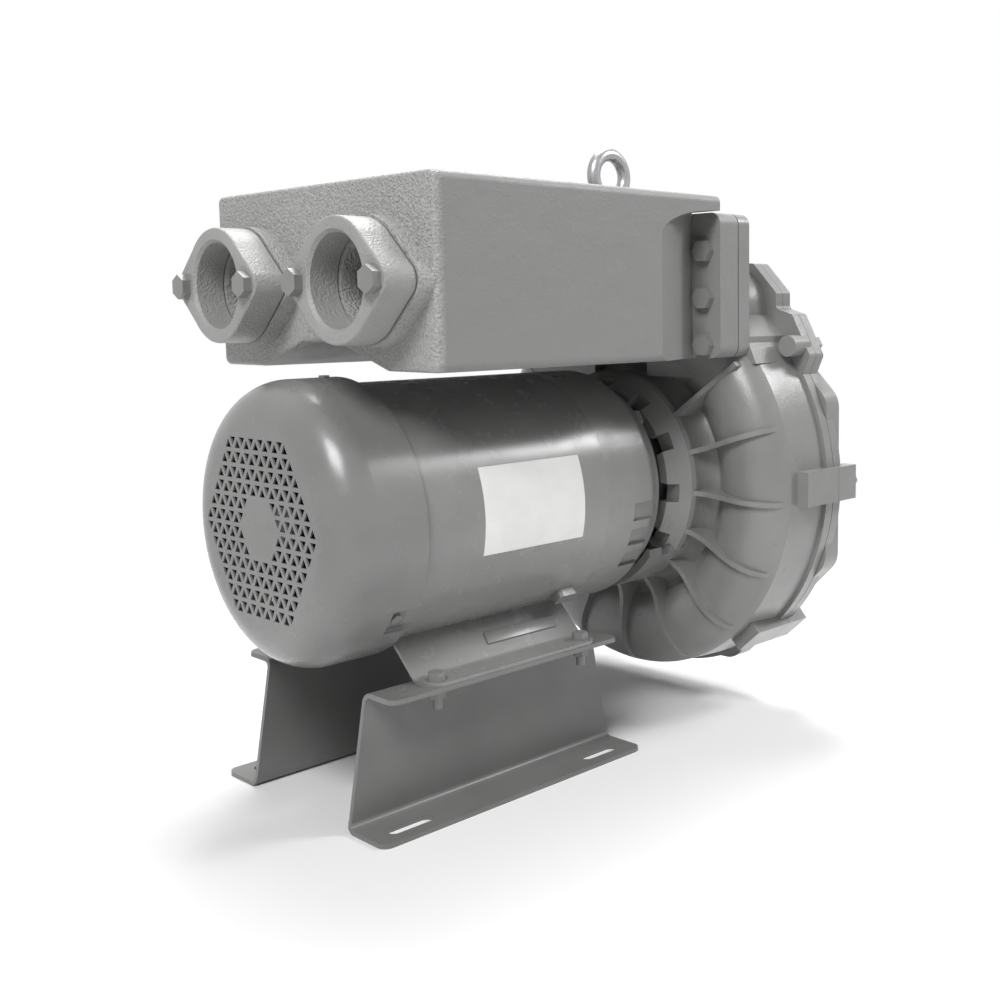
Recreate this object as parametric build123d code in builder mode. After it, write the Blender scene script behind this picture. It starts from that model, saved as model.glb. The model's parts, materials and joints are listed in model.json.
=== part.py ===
"""Side channel blower: a ribbed ring-channel casing flange-mounted on a fan-cooled motor,
with a cast manifold box and two threaded port flanges above the motor.

Frame: millimetres, +Z up, +X along the shaft from the motor's fan towards the blower.
The origin lies at floor level, in the centre of the four foot slots.
"""
import os
from math import cos, radians, sin, sqrt

from build123d import *

# Overall layout
shaft_height = 244.0
seat_gap = 0.02
fit_gap = 0.3

# Motor
cover_radius = 120.0
cover_front = -172.3
cover_rear = -93.4
cover_sheet = 1.6
cover_corner = 35.0
perforation_cells = 6
solid_cells = 2
perforation_reach = 86.6
perforation_web = 3.4
notch_angle = 38.0
notch_width = 26.0
notch_length = 23.0
notch_depth = 6.0
cover_screw_radius = 2.5
cover_screw_head = 3.0
cover_screw_length = 12.0
top_screw_head = 1.6
shell_radius = 114.0
shell_wall = 3.0
shell_front = -97.0
shell_end = 115.0
ear_angle = 50.0
ear_x = 92.0
ear_length = 22.0
ear_width = 15.0
ear_height = 8.0
face_end = 181.0
face_corner = 9.0
shield_wall = 9.0
shield_rim_inner = 98.0
rim_front = -113.0
spigot_length = 11.0
spigot_gap = 0.1
louvre_start = 150.0
louvre_depth = 4.0
louvre_width = 18.0
louvre_angles = (-8.0, -21.0, -34.0)
tie_bolt_radius = 3.2
tie_bolt_circle = 104.5
tie_bolt_end = 128.0
core_start = -42.0
core_length = 112.0
core_bore = 60.0
air_gap = 0.5
winding_reach = 27.0
end_ring_length = 16.0
conduit_length = 104.0
conduit_height = 92.0
conduit_depth = 52.0
conduit_wall = 4.0
conduit_centre = 25.0
conduit_entry_radius = 14.0
conduit_collar_radius = 16.0

# Shaft and bearings
shaft_fan_end = -152.0
shaft_drive_end = 318.0
shaft_body_radius = 20.0
shaft_shoulder_radius = 17.5
shaft_extension_radius = 14.2875
shaft_fan_radius = 11.0
drive_bearing_x = 150.0
fan_bearing_x = -106.0
drive_bearing = {"bore": 15.0, "outside": 31.0, "width": 16.0, "ball": 4.75, "balls": 9}
fan_bearing = {"bore": 12.5, "outside": 26.0, "width": 15.0, "ball": 4.0, "balls": 9}
ball_gap = 0.06
bearing_boss_wall = 9.0

# Motor foot and base brackets
foot_sheet = 3.0
foot_length = 190.0
foot_centre = 8.0
foot_edge_y = 111.0
foot_bend_y = 86.0
foot_crest_angle = 61.0
foot_bend_radius = 8.0
foot_corner = 14.0
foot_bolt_spacing = 164.0
foot_bolt_y = 98.5
foot_bolt_radius = 4.0
foot_bolt_spare = 9.0
foot_bolt_head = 5.3
washer_radius = 8.5
washer_thickness = 1.6
nut_height = 6.5
foot_hex = 7.5
bracket_sheet = 4.0
bracket_height = 113.0
bracket_length = 293.5
bracket_top_length = 254.0
bracket_web_y = 75.2
bracket_foot_y = 121.8
bracket_top_y = 112.0
bracket_bend = 7.0
bracket_corner = 9.0
spare_hole_x = 103.0
spare_hole_y = 90.0
spare_hole_length = 12.0
spare_hole_width = 8.0
slot_x = 108.0
slot_y = 103.0
slot_length = 44.0
slot_width = 13.0

# Blower casing
flange_radius = 103.0
flange_length = 14.0
face_bolt_circle = 92.1
face_bolt_radius = 6.35
face_bolt_depth = 20.0
face_bolt_reach = 11.0
face_bolt_head = 8.0
register_radius = 62.0
register_length = 4.0
hub_tube_radius = 72.0
hub_tube_wall = 11.0
seal_bore_radius = 26.0
seal_width = 8.0
seal_x = 258.0
ring_front = 215.0
ring_tip_radius = 96.0
ring_inner_radius = 87.0
ring_floor_x = 248.0
collar_x = 235.0
collar_radius = 111.0
notch_count = 12
first_notch = 26.0
notches_left_out = (7, 8, 9)
ring_notch_width = 18.0
ring_notch_depth = 10.0
saddle_front = 197.0
saddle_radius = 112.0
saddle_half_width = 88.0
saddle_drop = 62.0
valley_x = 266.0
valley_radius = 122.0
crown_x = 245.5
crown_radius = 163.0
shoulder_x = 272.0
split_x = 333.0
rim_radius = 212.5
rim_thickness = 11.0
casing_radius = 208.5
register_bore = 199.0
register_depth = 7.0
channel_inner = 138.0
channel_outer = 196.0
channel_corner = 16.0
casing_wall = 8.5
stripper_span = 26.0
rib_count = 11
rib_step = 21.0
rib_first = 17.0
rib_thickness = 5.0
gusset_angle = 38.0
gusset_reach = 197.0
lug_radius = 218.5
lug_width = 34.0
lug_front = 281.0
lug_length_cover = 30.0
lug_angles = (0.0, -48.0, -132.0, 180.0)
cover_bolt_radius = 4.8
cover_bolt_circle = 207.5
cover_bolt_depth = 26.0
cover_bolt_head = 6.5
cover_hex = 9.0
tip_y = 191.0
tip_z = 371.0
shoulder_y = 169.0
shoulder_z = 412.0
neck_y = 149.0
neck_z = 418.0
neck_slope_z = 434.0
neck_top_y = 120.0
neck_top = 464.0
tip_bolt_y = 176.0
tip_bolt_z = 381.0
tip_boss_radius = 10.5
shoulder_bend = 5.0
gasket_thickness = 0.8
cover_plate = 12.0
octagon_apothem = 203.0
octagon_depth = 22.0
octagon_corner = 25.0
cover_crown_x = 364.0
cover_end = 385.0
hub_cap_radius = 58.0
hub_pocket_radius = 44.0
hub_pocket_x = 358.0
cover_rib_count = 12

# Impeller
impeller_x = 301.5
impeller_width = 40.0
impeller_radius = 173.0
impeller_root_wall = 8.0
impeller_disc = 8.0
impeller_splitter = 3.0
impeller_hub_radius = 32.0
impeller_hub_length = 44.0
vane_count = 36
vane_thickness = 3.2
side_gap = 0.6
tip_gap = 1.5
key_width = 6.35
key_length = 34.0
key_height = 6.35
key_clearance = 0.4
impeller_washer = 5.0
impeller_bolt_radius = 5.0
impeller_hex = 9.0
impeller_bolt_head = 6.5
impeller_bolt_length = 30.0

# Manifold box and ports
box_front = -109.5
box_half_width = 159.9
box_top = 523.0
box_bottom = 371.5
box_valley_z = 393.0
box_valley_half = 26.0
box_lobe_inner = 93.0
box_wall = 7.0
box_edge = 7.0
recess_start = 139.3
recess_depth = 34.6
recess_top = 509.0
recess_spring = 483.0
flange_face = 220.7
box_flange = 26.4
box_flange_top = 508.0
flange_edge = 11.0
manifold_gasket_thickness = 1.5
casing_flange = 16.0
manifold_bolt_y = 141.5
manifold_bolt_z = 428.2
manifold_bolt_pitch = 44.2
manifold_bolt_radius = 6.0
flange_hex = 10.9
flange_bolt_head = 7.5
duct_y = 88.0
duct_z = 412.0
duct_radius = 50.0
duct_cap_radius = 52.0
duct_cap_end = 355.0
duct_cap_corner = 5.0
duct_foot_z = 350.0
ledge_z = 385.0
ledge_lip = 6.0
ledge_reach = 21.0
ledge_skirt = 30.0
ledge_drop = 20.0
duct_bore_y = 76.0
duct_bore_z = 416.0
duct_bore = 34.0
port_y = 90.5
port_z = 441.5
port_pad = 14.5
port_pad_margin = 2.0
port_flange = 27.0
port_gasket = 1.5
port_outer = 49.0
port_tip_radius = 14.0
port_bolt_y = 52.0
port_bolt_radius = 6.0
port_bolt_depth = 11.0
port_bore = 36.5
port_throat = 33.0
port_chamfer = 2.0
port_gasket_relief = 1.0
foam_bore = 34.0
eye_x = 236.0
eye_ring_radius = 22.0
eye_rod_radius = 6.8
eye_collar_radius = 12.0
eye_collar_height = 5.0
eye_shank_radius = 6.0
eye_shank_length = 26.0
eye_height = 582.7

shaft_line = Axis((0, 0, shaft_height), (1, 0, 0))
axial = Plane(origin=(0, 0, shaft_height), x_dir=(1, 0, 0), z_dir=(0, -1, 0))
os.makedirs("parts", exist_ok=True)


def across(x):
    """Plane square to the shaft at x: local x is +Y, local y is +Z."""
    return Plane(origin=(x, 0, shaft_height), x_dir=(0, 1, 0), z_dir=(1, 0, 0))


def across_floor(x):
    """Plane square to the shaft at x, its heights measured from the floor."""
    return Plane(origin=(x, 0, 0), x_dir=(0, 1, 0), z_dir=(1, 0, 0))


def outward(angle, radius=0.0):
    """Plane facing away from the shaft; 0 degrees is the near side, 90 degrees is up."""
    away = (0, -cos(radians(angle)), sin(radians(angle)))
    return Plane(origin=(0, 0, shaft_height), x_dir=(1, 0, 0), z_dir=away).offset(radius)


def polar_yz(angle, radius):
    """Y and height above the shaft of a point at an angle from the near side."""
    return (-radius * cos(radians(angle)), radius * sin(radians(angle)))


def turned(*points, mode=Mode.ADD):
    """Ring or disc about the shaft from (x, radius) points."""
    with BuildSketch(axial) as profile:
        with BuildLine():
            Polyline(*points, close=True)
        make_face()
    revolve(profile.sketch, axis=shaft_line, mode=mode)


def sleeve(start, end, outer, inner=0.0, mode=Mode.ADD):
    """Plain tube or disc about the shaft."""
    turned((start, inner), (end, inner), (end, outer), (start, outer), mode=mode)


def hex_bolt(seat, radius, length, head, height):
    """Hex bolt whose head stands on the seat plane, with its shank behind it."""
    with BuildSketch(seat) as head_face:
        RegularPolygon(head, 6)
    extrude(head_face.sketch, amount=height)
    with BuildSketch(seat) as shank_face:
        Circle(radius)
    extrude(shank_face.sketch, amount=-length)


def save(piece, name):
    """Label a finished piece and write it under its own name."""
    piece.part.label = name
    export_step(piece.part, f"parts/{name}.step")


# Fan cover: drawn sheet with a hexagonal field of triangular holes
notch_angles = (-notch_angle, notch_angle - 180)
pocket_front = cover_rear - notch_length
tab_length = shell_front - fit_gap - pocket_front
cover_screw_x = pocket_front + tab_length / 2
cell = perforation_reach / perforation_cells
row_height = cell * sqrt(3) / 2
hole_radius = 2 * (cell / (2 * sqrt(3)) - perforation_web / 2)
inner_corner = cover_corner - cover_sheet
holes_up = []
holes_down = []
for row in range(perforation_cells):
    across_row = 2 * perforation_cells - row
    for step in range(across_row):
        holes_up.append((cell * (step + 0.5 - across_row / 2), row_height * (row + 1 / 3)))
    for step in range(across_row - 1):
        holes_down.append((cell * (step + 1 - across_row / 2), row_height * (row + 2 / 3)))


def in_centre(point):
    """Whether a hole would fall in the solid hexagon at the middle."""
    reach = solid_cells * cell
    return sqrt(3) * abs(point[0]) + point[1] < sqrt(3) * reach and point[1] < row_height * solid_cells


holes_up = [point for point in holes_up if not in_centre(point)]
holes_down = [point for point in holes_down if not in_centre(point)]

with BuildPart() as fan_cover:
    with BuildSketch(axial) as cover_profile:
        with BuildLine():
            Polyline(
                (cover_front, 0),
                (cover_front, cover_radius - cover_corner),
            )
            RadiusArc(
                (cover_front, cover_radius - cover_corner),
                (cover_front + cover_corner, cover_radius),
                cover_corner,
            )
            Polyline(
                (cover_front + cover_corner, cover_radius),
                (cover_rear, cover_radius),
                (cover_rear, cover_radius - cover_sheet),
                (cover_front + cover_corner, cover_radius - cover_sheet),
            )
            RadiusArc(
                (cover_front + cover_corner, cover_radius - cover_sheet),
                (cover_front + cover_sheet, cover_radius - cover_corner),
                -inner_corner,
            )
            Polyline(
                (cover_front + cover_sheet, cover_radius - cover_corner),
                (cover_front + cover_sheet, 0),
                (cover_front, 0),
            )
        make_face()
    revolve(axis=shaft_line)
    with BuildSketch(across(cover_front)) as perforations:
        with Locations(*holes_up, *[(y, -z) for y, z in holes_down]):
            RegularPolygon(hole_radius, 3, rotation=90)
        with Locations(*holes_down, *[(y, -z) for y, z in holes_up]):
            RegularPolygon(hole_radius, 3, rotation=-90)
    extrude(amount=cover_sheet, mode=Mode.SUBTRACT)
    for angle in notch_angles:
        with BuildSketch(outward(angle, cover_radius - notch_depth)) as pocket:
            with Locations((cover_rear - notch_length / 2, 0)):
                Rectangle(notch_length, notch_width)
        extrude(pocket.sketch, amount=notch_depth + 1, mode=Mode.SUBTRACT)
        with BuildSketch(outward(angle, cover_radius - notch_depth)) as tab:
            with Locations((pocket_front + tab_length / 2, 0)):
                Rectangle(tab_length, notch_width)
        extrude(tab.sketch, amount=-cover_sheet)
        with BuildSketch(outward(angle, cover_radius - notch_depth - cover_sheet)) as wall:
            with Locations((pocket_front - cover_sheet / 2, 0)):
                Rectangle(cover_sheet, notch_width)
        extrude(wall.sketch, amount=notch_depth)
    for angle in (*notch_angles, 90.0):
        with BuildSketch(outward(angle, cover_radius)) as screw_hole:
            with Locations((cover_screw_x, 0)):
                Circle(cover_screw_radius + fit_gap)
        extrude(screw_hole.sketch, amount=-2 * notch_depth, mode=Mode.SUBTRACT)
save(fan_cover, "fan_cover")

# Fan cover screws: two on the pressed tabs, one on top
with BuildPart() as fan_cover_screws:
    for angle, sunk, head in (
        (notch_angles[0], notch_depth, cover_screw_head),
        (notch_angles[1], notch_depth, cover_screw_head),
        (90.0, 0.0, top_screw_head),
    ):
        place = outward(angle, cover_radius - sunk)
        place.origin = place.from_local_coords((cover_screw_x, 0, 0))
        hex_bolt(place, cover_screw_radius, cover_screw_length, 2 * cover_screw_radius, head)
save(fan_cover_screws, "fan_cover_screws")

# Motor shell: rolled steel tube with two ears below and an opening for the leads on the far side
shell_bore = shell_radius - shell_wall
lead_plane = outward(180.0)
lead_plane.origin = lead_plane.from_local_coords((conduit_centre, 0, 0))
with BuildPart() as motor_shell:
    sleeve(shell_front, shell_end, shell_radius, shell_bore)
    with BuildSketch(lead_plane) as lead_hole:
        Circle(conduit_collar_radius)
    extrude(lead_hole.sketch, amount=shell_radius + 1, mode=Mode.SUBTRACT)
    for angle in (-ear_angle, ear_angle - 180):
        with BuildSketch(outward(angle, shell_radius - shell_wall / 2)) as ear:
            with Locations((ear_x, 0)):
                RectangleRounded(ear_length, ear_width, ear_width / 4)
        extrude(ear.sketch, amount=ear_height + shell_wall / 2)
save(motor_shell, "motor_shell")

# Fan end shield: rim under the cover, spigot in the shell, boss round the bearing
fan_boss_radius = fan_bearing["outside"] + bearing_boss_wall
fan_boss_end = fan_bearing_x + fan_bearing["width"] + 3
spring_thickness = 1.2
rim_outer = cover_radius - cover_sheet - fit_gap
pocket_floor = cover_radius - notch_depth - cover_sheet
with BuildPart() as fan_end_shield:
    sleeve(rim_front, shell_front, rim_outer, shield_rim_inner)
    sleeve(shell_front, shell_front + spigot_length, shell_bore - spigot_gap, shield_rim_inner)
    sleeve(rim_front, rim_front + shield_wall, shield_rim_inner, fan_bearing["outside"])
    sleeve(rim_front, fan_boss_end, fan_boss_radius, fan_bearing["outside"] + seat_gap)
    sleeve(rim_front, fan_bearing_x - spring_thickness, fan_boss_radius, fan_bearing["bore"] + 1.5)
    for angle in notch_angles:
        with BuildSketch(outward(angle, pocket_floor)) as relief:
            with Locations((rim_front, 0)):
                Rectangle(2 * notch_length, notch_width + 2 * fit_gap)
        extrude(relief.sketch, amount=2 * notch_depth, mode=Mode.SUBTRACT)
    for angle in (*notch_angles, 90.0):
        with BuildSketch(outward(angle, cover_radius)) as tapped:
            with Locations((cover_screw_x, 0)):
                Circle(cover_screw_radius + seat_gap)
        extrude(tapped.sketch, amount=-20.0, mode=Mode.SUBTRACT)
    with BuildSketch(across(rim_front)) as tie_holes:
        with PolarLocations(tie_bolt_circle, 4, start_angle=45):
            Circle(tie_bolt_radius + fit_gap)
    extrude(tie_holes.sketch, amount=3 * spigot_length, mode=Mode.SUBTRACT)
save(fan_end_shield, "fan_end_shield")

# Drive end shield: face for the blower, cooling recesses low on both sides
drive_boss_radius = drive_bearing["outside"] + bearing_boss_wall
face_inner = face_end - shield_wall
drive_bearing_end = drive_bearing_x + drive_bearing["width"]
with BuildPart() as drive_end_shield:
    sleeve(shell_end - spigot_length, shell_end, shell_bore - spigot_gap, shield_rim_inner)
    with BuildSketch(axial) as shield_profile:
        with BuildLine():
            Polyline((shell_end, shield_rim_inner), (shell_end, shell_radius), (face_end - face_corner, shell_radius))
            RadiusArc(
                (face_end - face_corner, shell_radius),
                (face_end, shell_radius - face_corner),
                face_corner,
            )
            Polyline(
                (face_end, shell_radius - face_corner),
                (face_end, register_radius),
                (face_end + register_length, register_radius),
                (face_end + register_length, shaft_shoulder_radius),
                (drive_bearing_end, shaft_shoulder_radius),
                (drive_bearing_end, drive_bearing["outside"] + seat_gap),
                (drive_bearing_x - 2, drive_bearing["outside"] + seat_gap),
                (drive_bearing_x - 2, drive_boss_radius),
                (face_inner, drive_boss_radius),
                (face_inner, shell_radius - shield_wall),
                (tie_bolt_end + 6, shell_radius - shield_wall),
                (tie_bolt_end + 6, shield_rim_inner),
                (shell_end, shield_rim_inner),
            )
        make_face()
    revolve(axis=shaft_line)
    with BuildSketch(across(face_end - face_bolt_depth)) as bosses:
        with PolarLocations(face_bolt_circle, 4, start_angle=45):
            Circle(2 * face_bolt_radius)
    extrude(bosses.sketch, amount=face_bolt_depth - shield_wall)
    with BuildSketch(across(face_end)) as face_holes:
        with PolarLocations(face_bolt_circle, 4, start_angle=45):
            Circle(face_bolt_radius + seat_gap)
    extrude(face_holes.sketch, amount=-face_bolt_depth, mode=Mode.SUBTRACT)
    with BuildSketch(across(shell_end - spigot_length)) as tie_holes:
        with PolarLocations(tie_bolt_circle, 4, start_angle=45):
            Circle(tie_bolt_radius + seat_gap)
    extrude(tie_holes.sketch, amount=tie_bolt_end - shell_end + spigot_length, mode=Mode.SUBTRACT)
    for angle in (*louvre_angles, *[180 - a for a in louvre_angles]):
        with BuildSketch(outward(angle, shell_radius - louvre_depth)) as louvre:
            with Locations(((louvre_start + face_end + 5) / 2, 0)):
                Rectangle(face_end + 5 - louvre_start, louvre_width)
        extrude(louvre.sketch, amount=2 * louvre_depth, mode=Mode.SUBTRACT)
save(drive_end_shield, "drive_end_shield")

# Tie bolts that clamp the two shields to the shell
with BuildPart() as motor_tie_bolts:
    for index in range(4):
        y, z = polar_yz(45 + 90 * index, tie_bolt_circle)
        seat = Plane(origin=(rim_front, y, shaft_height + z), x_dir=(0, 1, 0), z_dir=(-1, 0, 0))
        hex_bolt(seat, tie_bolt_radius, tie_bolt_end - rim_front, 2 * tie_bolt_radius, 4.0)
save(motor_tie_bolts, "motor_tie_bolts")

# Stator: laminated ring with channels for the tie bolts, and its end turns
core_end = core_start + core_length
with BuildPart() as stator_core:
    sleeve(core_start, core_end, shell_bore - seat_gap, core_bore)
    with BuildSketch(across(core_start)) as channels:
        with PolarLocations(tie_bolt_circle, 4, start_angle=45):
            Circle(tie_bolt_radius + 1)
        with PolarLocations(shell_bore, 4, start_angle=45):
            Rectangle(2 * (shell_bore - tie_bolt_circle), 2 * tie_bolt_radius + 2)
    extrude(channels.sketch, amount=core_length, mode=Mode.SUBTRACT)
save(stator_core, "stator_core")

winding_inner = core_bore + 8
winding_outer = shield_rim_inner - 2
with BuildPart() as stator_windings:
    for start, end in ((core_start - winding_reach, core_start), (core_end, core_end + winding_reach)):
        with BuildSketch(axial) as end_turns:
            with Locations(((start + end) / 2, (winding_inner + winding_outer) / 2)):
                RectangleRounded(winding_reach, winding_outer - winding_inner, 9)
        revolve(end_turns.sketch, axis=shaft_line)
save(stator_windings, "stator_windings")

# Rotor: stepped shaft, laminated core and cast end rings
with BuildPart() as rotor_shaft:
    turned(
        (shaft_fan_end, 0),
        (shaft_fan_end, shaft_fan_radius),
        (fan_bearing_x - 16, shaft_fan_radius),
        (fan_bearing_x - 16, fan_bearing["bore"]),
        (fan_bearing_x + fan_bearing["width"], fan_bearing["bore"]),
        (fan_bearing_x + fan_bearing["width"], shaft_shoulder_radius),
        (core_start - 4, shaft_shoulder_radius),
        (core_start - 4, shaft_body_radius),
        (core_end, shaft_body_radius),
        (core_end, shaft_shoulder_radius),
        (drive_bearing_x, shaft_shoulder_radius),
        (drive_bearing_x, drive_bearing["bore"]),
        (drive_bearing_end, drive_bearing["bore"]),
        (drive_bearing_end, shaft_extension_radius),
        (shaft_drive_end, shaft_extension_radius),
        (shaft_drive_end, 0),
    )
    with BuildSketch(axial) as keyway:
        with Locations((impeller_x, shaft_extension_radius)):
            Rectangle(key_length, key_height)
    extrude(keyway.sketch, amount=key_width / 2, both=True, mode=Mode.SUBTRACT)
    with BuildSketch(across(shaft_drive_end)) as end_hole:
        Circle(impeller_bolt_radius + seat_gap)
    extrude(end_hole.sketch, amount=-30.0, mode=Mode.SUBTRACT)
save(rotor_shaft, "rotor_shaft")

rotor_radius = core_bore - air_gap
with BuildPart() as rotor_core:
    sleeve(core_start, core_end, rotor_radius, shaft_body_radius + seat_gap)
save(rotor_core, "rotor_core")

with BuildPart() as rotor_end_rings:
    sleeve(core_start - end_ring_length, core_start, rotor_radius - 3, 36.0)
    sleeve(core_end, core_end + end_ring_length, rotor_radius - 3, 36.0)
save(rotor_end_rings, "rotor_end_rings")


def bearing_parts(name, x, size):
    """Deep groove ball bearing: outer ring, inner ring, cage and balls at x."""
    pitch = (size["bore"] + size["outside"]) / 2
    middle = x + size["width"] / 2
    ball = size["ball"]
    land = 0.55 * ball
    groove = ball + ball_gap
    with BuildPart() as outer_ring:
        sleeve(x, x + size["width"], size["outside"], pitch + land)
        with BuildSketch(axial) as race:
            with Locations((middle, pitch)):
                Circle(groove)
        revolve(race.sketch, axis=shaft_line, mode=Mode.SUBTRACT)
    save(outer_ring, f"{name}_bearing_outer_ring")
    with BuildPart() as inner_ring:
        sleeve(x, x + size["width"], pitch - land, size["bore"] + seat_gap)
        with BuildSketch(axial) as race:
            with Locations((middle, pitch)):
                Circle(groove)
        revolve(race.sketch, axis=shaft_line, mode=Mode.SUBTRACT)
    save(inner_ring, f"{name}_bearing_inner_ring")
    with BuildPart() as cage:
        sleeve(middle - 1.35 * ball, middle + 1.35 * ball, pitch + 1.1, pitch - 1.1)
        for index in range(size["balls"]):
            y, z = polar_yz(360 * index / size["balls"], pitch)
            with Locations((middle, y, shaft_height + z)):
                Sphere(groove, mode=Mode.SUBTRACT)
    save(cage, f"{name}_bearing_cage")
    with BuildPart() as balls:
        for index in range(size["balls"]):
            y, z = polar_yz(360 * index / size["balls"], pitch)
            with Locations((middle, y, shaft_height + z)):
                Sphere(ball)
    save(balls, f"{name}_bearing_balls")


bearing_parts("drive_end", drive_bearing_x, drive_bearing)
bearing_parts("fan_end", fan_bearing_x, fan_bearing)

# Spring ring that preloads the fan end bearing
with BuildPart() as bearing_spring:
    sleeve(fan_bearing_x - spring_thickness, fan_bearing_x, fan_bearing["outside"] - 0.5, fan_bearing["outside"] - 5)
save(bearing_spring, "bearing_spring")

# Cooling fan with radial blades, and its retaining ring
fan_back = rim_front - 9
fan_radius = 96.0
fan_disc = 3.0
fan_depth = 26.0
fan_blades = 8
clip_thickness = 1.5
with BuildPart() as cooling_fan:
    sleeve(fan_back - fan_disc, fan_back, fan_radius, shaft_fan_radius + seat_gap)
    sleeve(fan_back - fan_depth, fan_back, 20.0, shaft_fan_radius + seat_gap)
    for index in range(fan_blades):
        with BuildSketch(outward(360 * index / fan_blades)) as blade:
            with Locations((fan_back - fan_depth / 2, 0)):
                Rectangle(fan_depth, 3.0)
        extrude(blade.sketch, amount=fan_radius)
    sleeve(fan_back - fan_depth - 1, fan_back, shaft_fan_radius + seat_gap, mode=Mode.SUBTRACT)
save(cooling_fan, "cooling_fan")

with BuildPart() as fan_retaining_ring:
    clip_end = fan_back - fan_depth
    sleeve(clip_end - clip_thickness, clip_end, shaft_fan_radius + 4, shaft_fan_radius + seat_gap)
    with BuildSketch(across(clip_end)) as clip_gap:
        with Locations((0, -shaft_fan_radius)):
            Rectangle(7.0, 12.0)
    extrude(clip_gap.sketch, amount=-clip_thickness, mode=Mode.SUBTRACT)
save(fan_retaining_ring, "fan_retaining_ring")

# Conduit box on the far side of the motor, with its gasket, cover and screws
conduit_base = shell_radius - 8
conduit_rim = conduit_base + conduit_depth
conduit_gasket = 1.5
conduit_cover_sheet = 3.0
conduit_screw_x = conduit_length / 2 - 8
conduit_screw_z = conduit_height / 2 - 8


def conduit_plane(distance):
    """Plane facing the far side over the conduit box's centre."""
    return Plane(origin=(conduit_centre, distance, shaft_height), x_dir=(-1, 0, 0), z_dir=(0, 1, 0))


def conduit_outline(plane, inset=0.0):
    """Rounded outline of the conduit box."""
    with BuildSketch(plane) as outline:
        RectangleRounded(conduit_length - 2 * inset, conduit_height - 2 * inset, 9.0 - inset)
    return outline.sketch


with BuildPart() as conduit_box:
    extrude(conduit_outline(conduit_plane(conduit_base)), amount=conduit_depth)
    extrude(
        conduit_outline(conduit_plane(shell_radius + conduit_wall), conduit_wall),
        amount=conduit_depth,
        mode=Mode.SUBTRACT,
    )
    with BuildSketch(conduit_plane(shell_radius)) as pillars:
        with GridLocations(2 * conduit_screw_x, 2 * conduit_screw_z, 2, 2):
            Circle(5.0)
    extrude(pillars.sketch, amount=conduit_rim - shell_radius)
    with BuildSketch(conduit_plane(conduit_rim)) as screw_holes:
        with GridLocations(2 * conduit_screw_x, 2 * conduit_screw_z, 2, 2):
            Circle(2.0 + seat_gap)
    extrude(screw_holes.sketch, amount=-12.0, mode=Mode.SUBTRACT)
    with BuildSketch(conduit_plane(conduit_base)) as lead_hole:
        Circle(conduit_collar_radius)
    extrude(lead_hole.sketch, amount=conduit_depth, mode=Mode.SUBTRACT)
    with BuildSketch(Plane.XY.offset(shaft_height - conduit_height / 2)) as entry:
        with Locations((conduit_centre, (shell_radius + conduit_wall + conduit_rim) / 2)):
            Circle(conduit_entry_radius)
    extrude(entry.sketch, amount=conduit_wall, mode=Mode.SUBTRACT)
    sleeve(-100, 150, shell_radius + seat_gap, mode=Mode.SUBTRACT)
save(conduit_box, "conduit_box")

with BuildPart() as conduit_box_gasket:
    extrude(conduit_outline(conduit_plane(conduit_rim)), amount=conduit_gasket)
    extrude(conduit_outline(conduit_plane(conduit_rim), conduit_wall), amount=conduit_gasket, mode=Mode.SUBTRACT)
save(conduit_box_gasket, "conduit_box_gasket")

cover_seat = conduit_rim + conduit_gasket
with BuildPart() as conduit_box_cover:
    extrude(conduit_outline(conduit_plane(cover_seat)), amount=conduit_cover_sheet)
    with BuildSketch(conduit_plane(cover_seat)) as screw_holes:
        with GridLocations(2 * conduit_screw_x, 2 * conduit_screw_z, 2, 2):
            Circle(2.0 + fit_gap)
    extrude(screw_holes.sketch, amount=conduit_cover_sheet, mode=Mode.SUBTRACT)
save(conduit_box_cover, "conduit_box_cover")

with BuildPart() as conduit_box_screws:
    for x in (-conduit_screw_x, conduit_screw_x):
        for z in (-conduit_screw_z, conduit_screw_z):
            seat = conduit_plane(cover_seat + conduit_cover_sheet)
            seat.origin = seat.from_local_coords((x, z, 0))
            hex_bolt(seat, 2.0, 12.0, 4.2, 3.0)
save(conduit_box_screws, "conduit_box_screws")

# Motor foot: one bent sheet that cradles the shell and spreads to the two brackets
foot_mid_z = bracket_height + foot_sheet / 2
cradle_radius = shell_radius + foot_sheet / 2
crest_y, crest_drop = polar_yz(-foot_crest_angle, cradle_radius)
foot_plane = across_floor(foot_centre - foot_length / 2)
with BuildPart() as motor_foot:
    with BuildSketch(foot_plane) as foot_profile:
        with BuildLine():
            FilletPolyline(
                (-foot_edge_y, foot_mid_z),
                (-foot_bend_y, foot_mid_z),
                (crest_y, shaft_height + crest_drop),
                radius=foot_bend_radius,
            )
            ThreePointArc(
                (crest_y, shaft_height + crest_drop),
                (0, shaft_height - cradle_radius),
                (-crest_y, shaft_height + crest_drop),
            )
            FilletPolyline(
                (-crest_y, shaft_height + crest_drop),
                (foot_bend_y, foot_mid_z),
                (foot_edge_y, foot_mid_z),
                radius=foot_bend_radius,
            )
        trace(line_width=foot_sheet)
    extrude(foot_profile.sketch, amount=foot_length)
    sleeve(-200, 200, shell_radius + seat_gap, mode=Mode.SUBTRACT)
    foot_corners = motor_foot.edges().filter_by(Axis.Z).filter_by(
        lambda edge: abs(edge.center().Y) > foot_bend_y + 10
    )
    fillet(foot_corners, radius=foot_corner)
    with BuildSketch(Plane.XY.offset(bracket_height)) as foot_holes:
        with Locations((foot_centre, 0)):
            with GridLocations(foot_bolt_spacing, 2 * foot_bolt_y, 2, 2):
                Circle(foot_bolt_radius + fit_gap)
    extrude(foot_holes.sketch, amount=2 * foot_sheet, mode=Mode.SUBTRACT)
save(motor_foot, "motor_foot")


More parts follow.
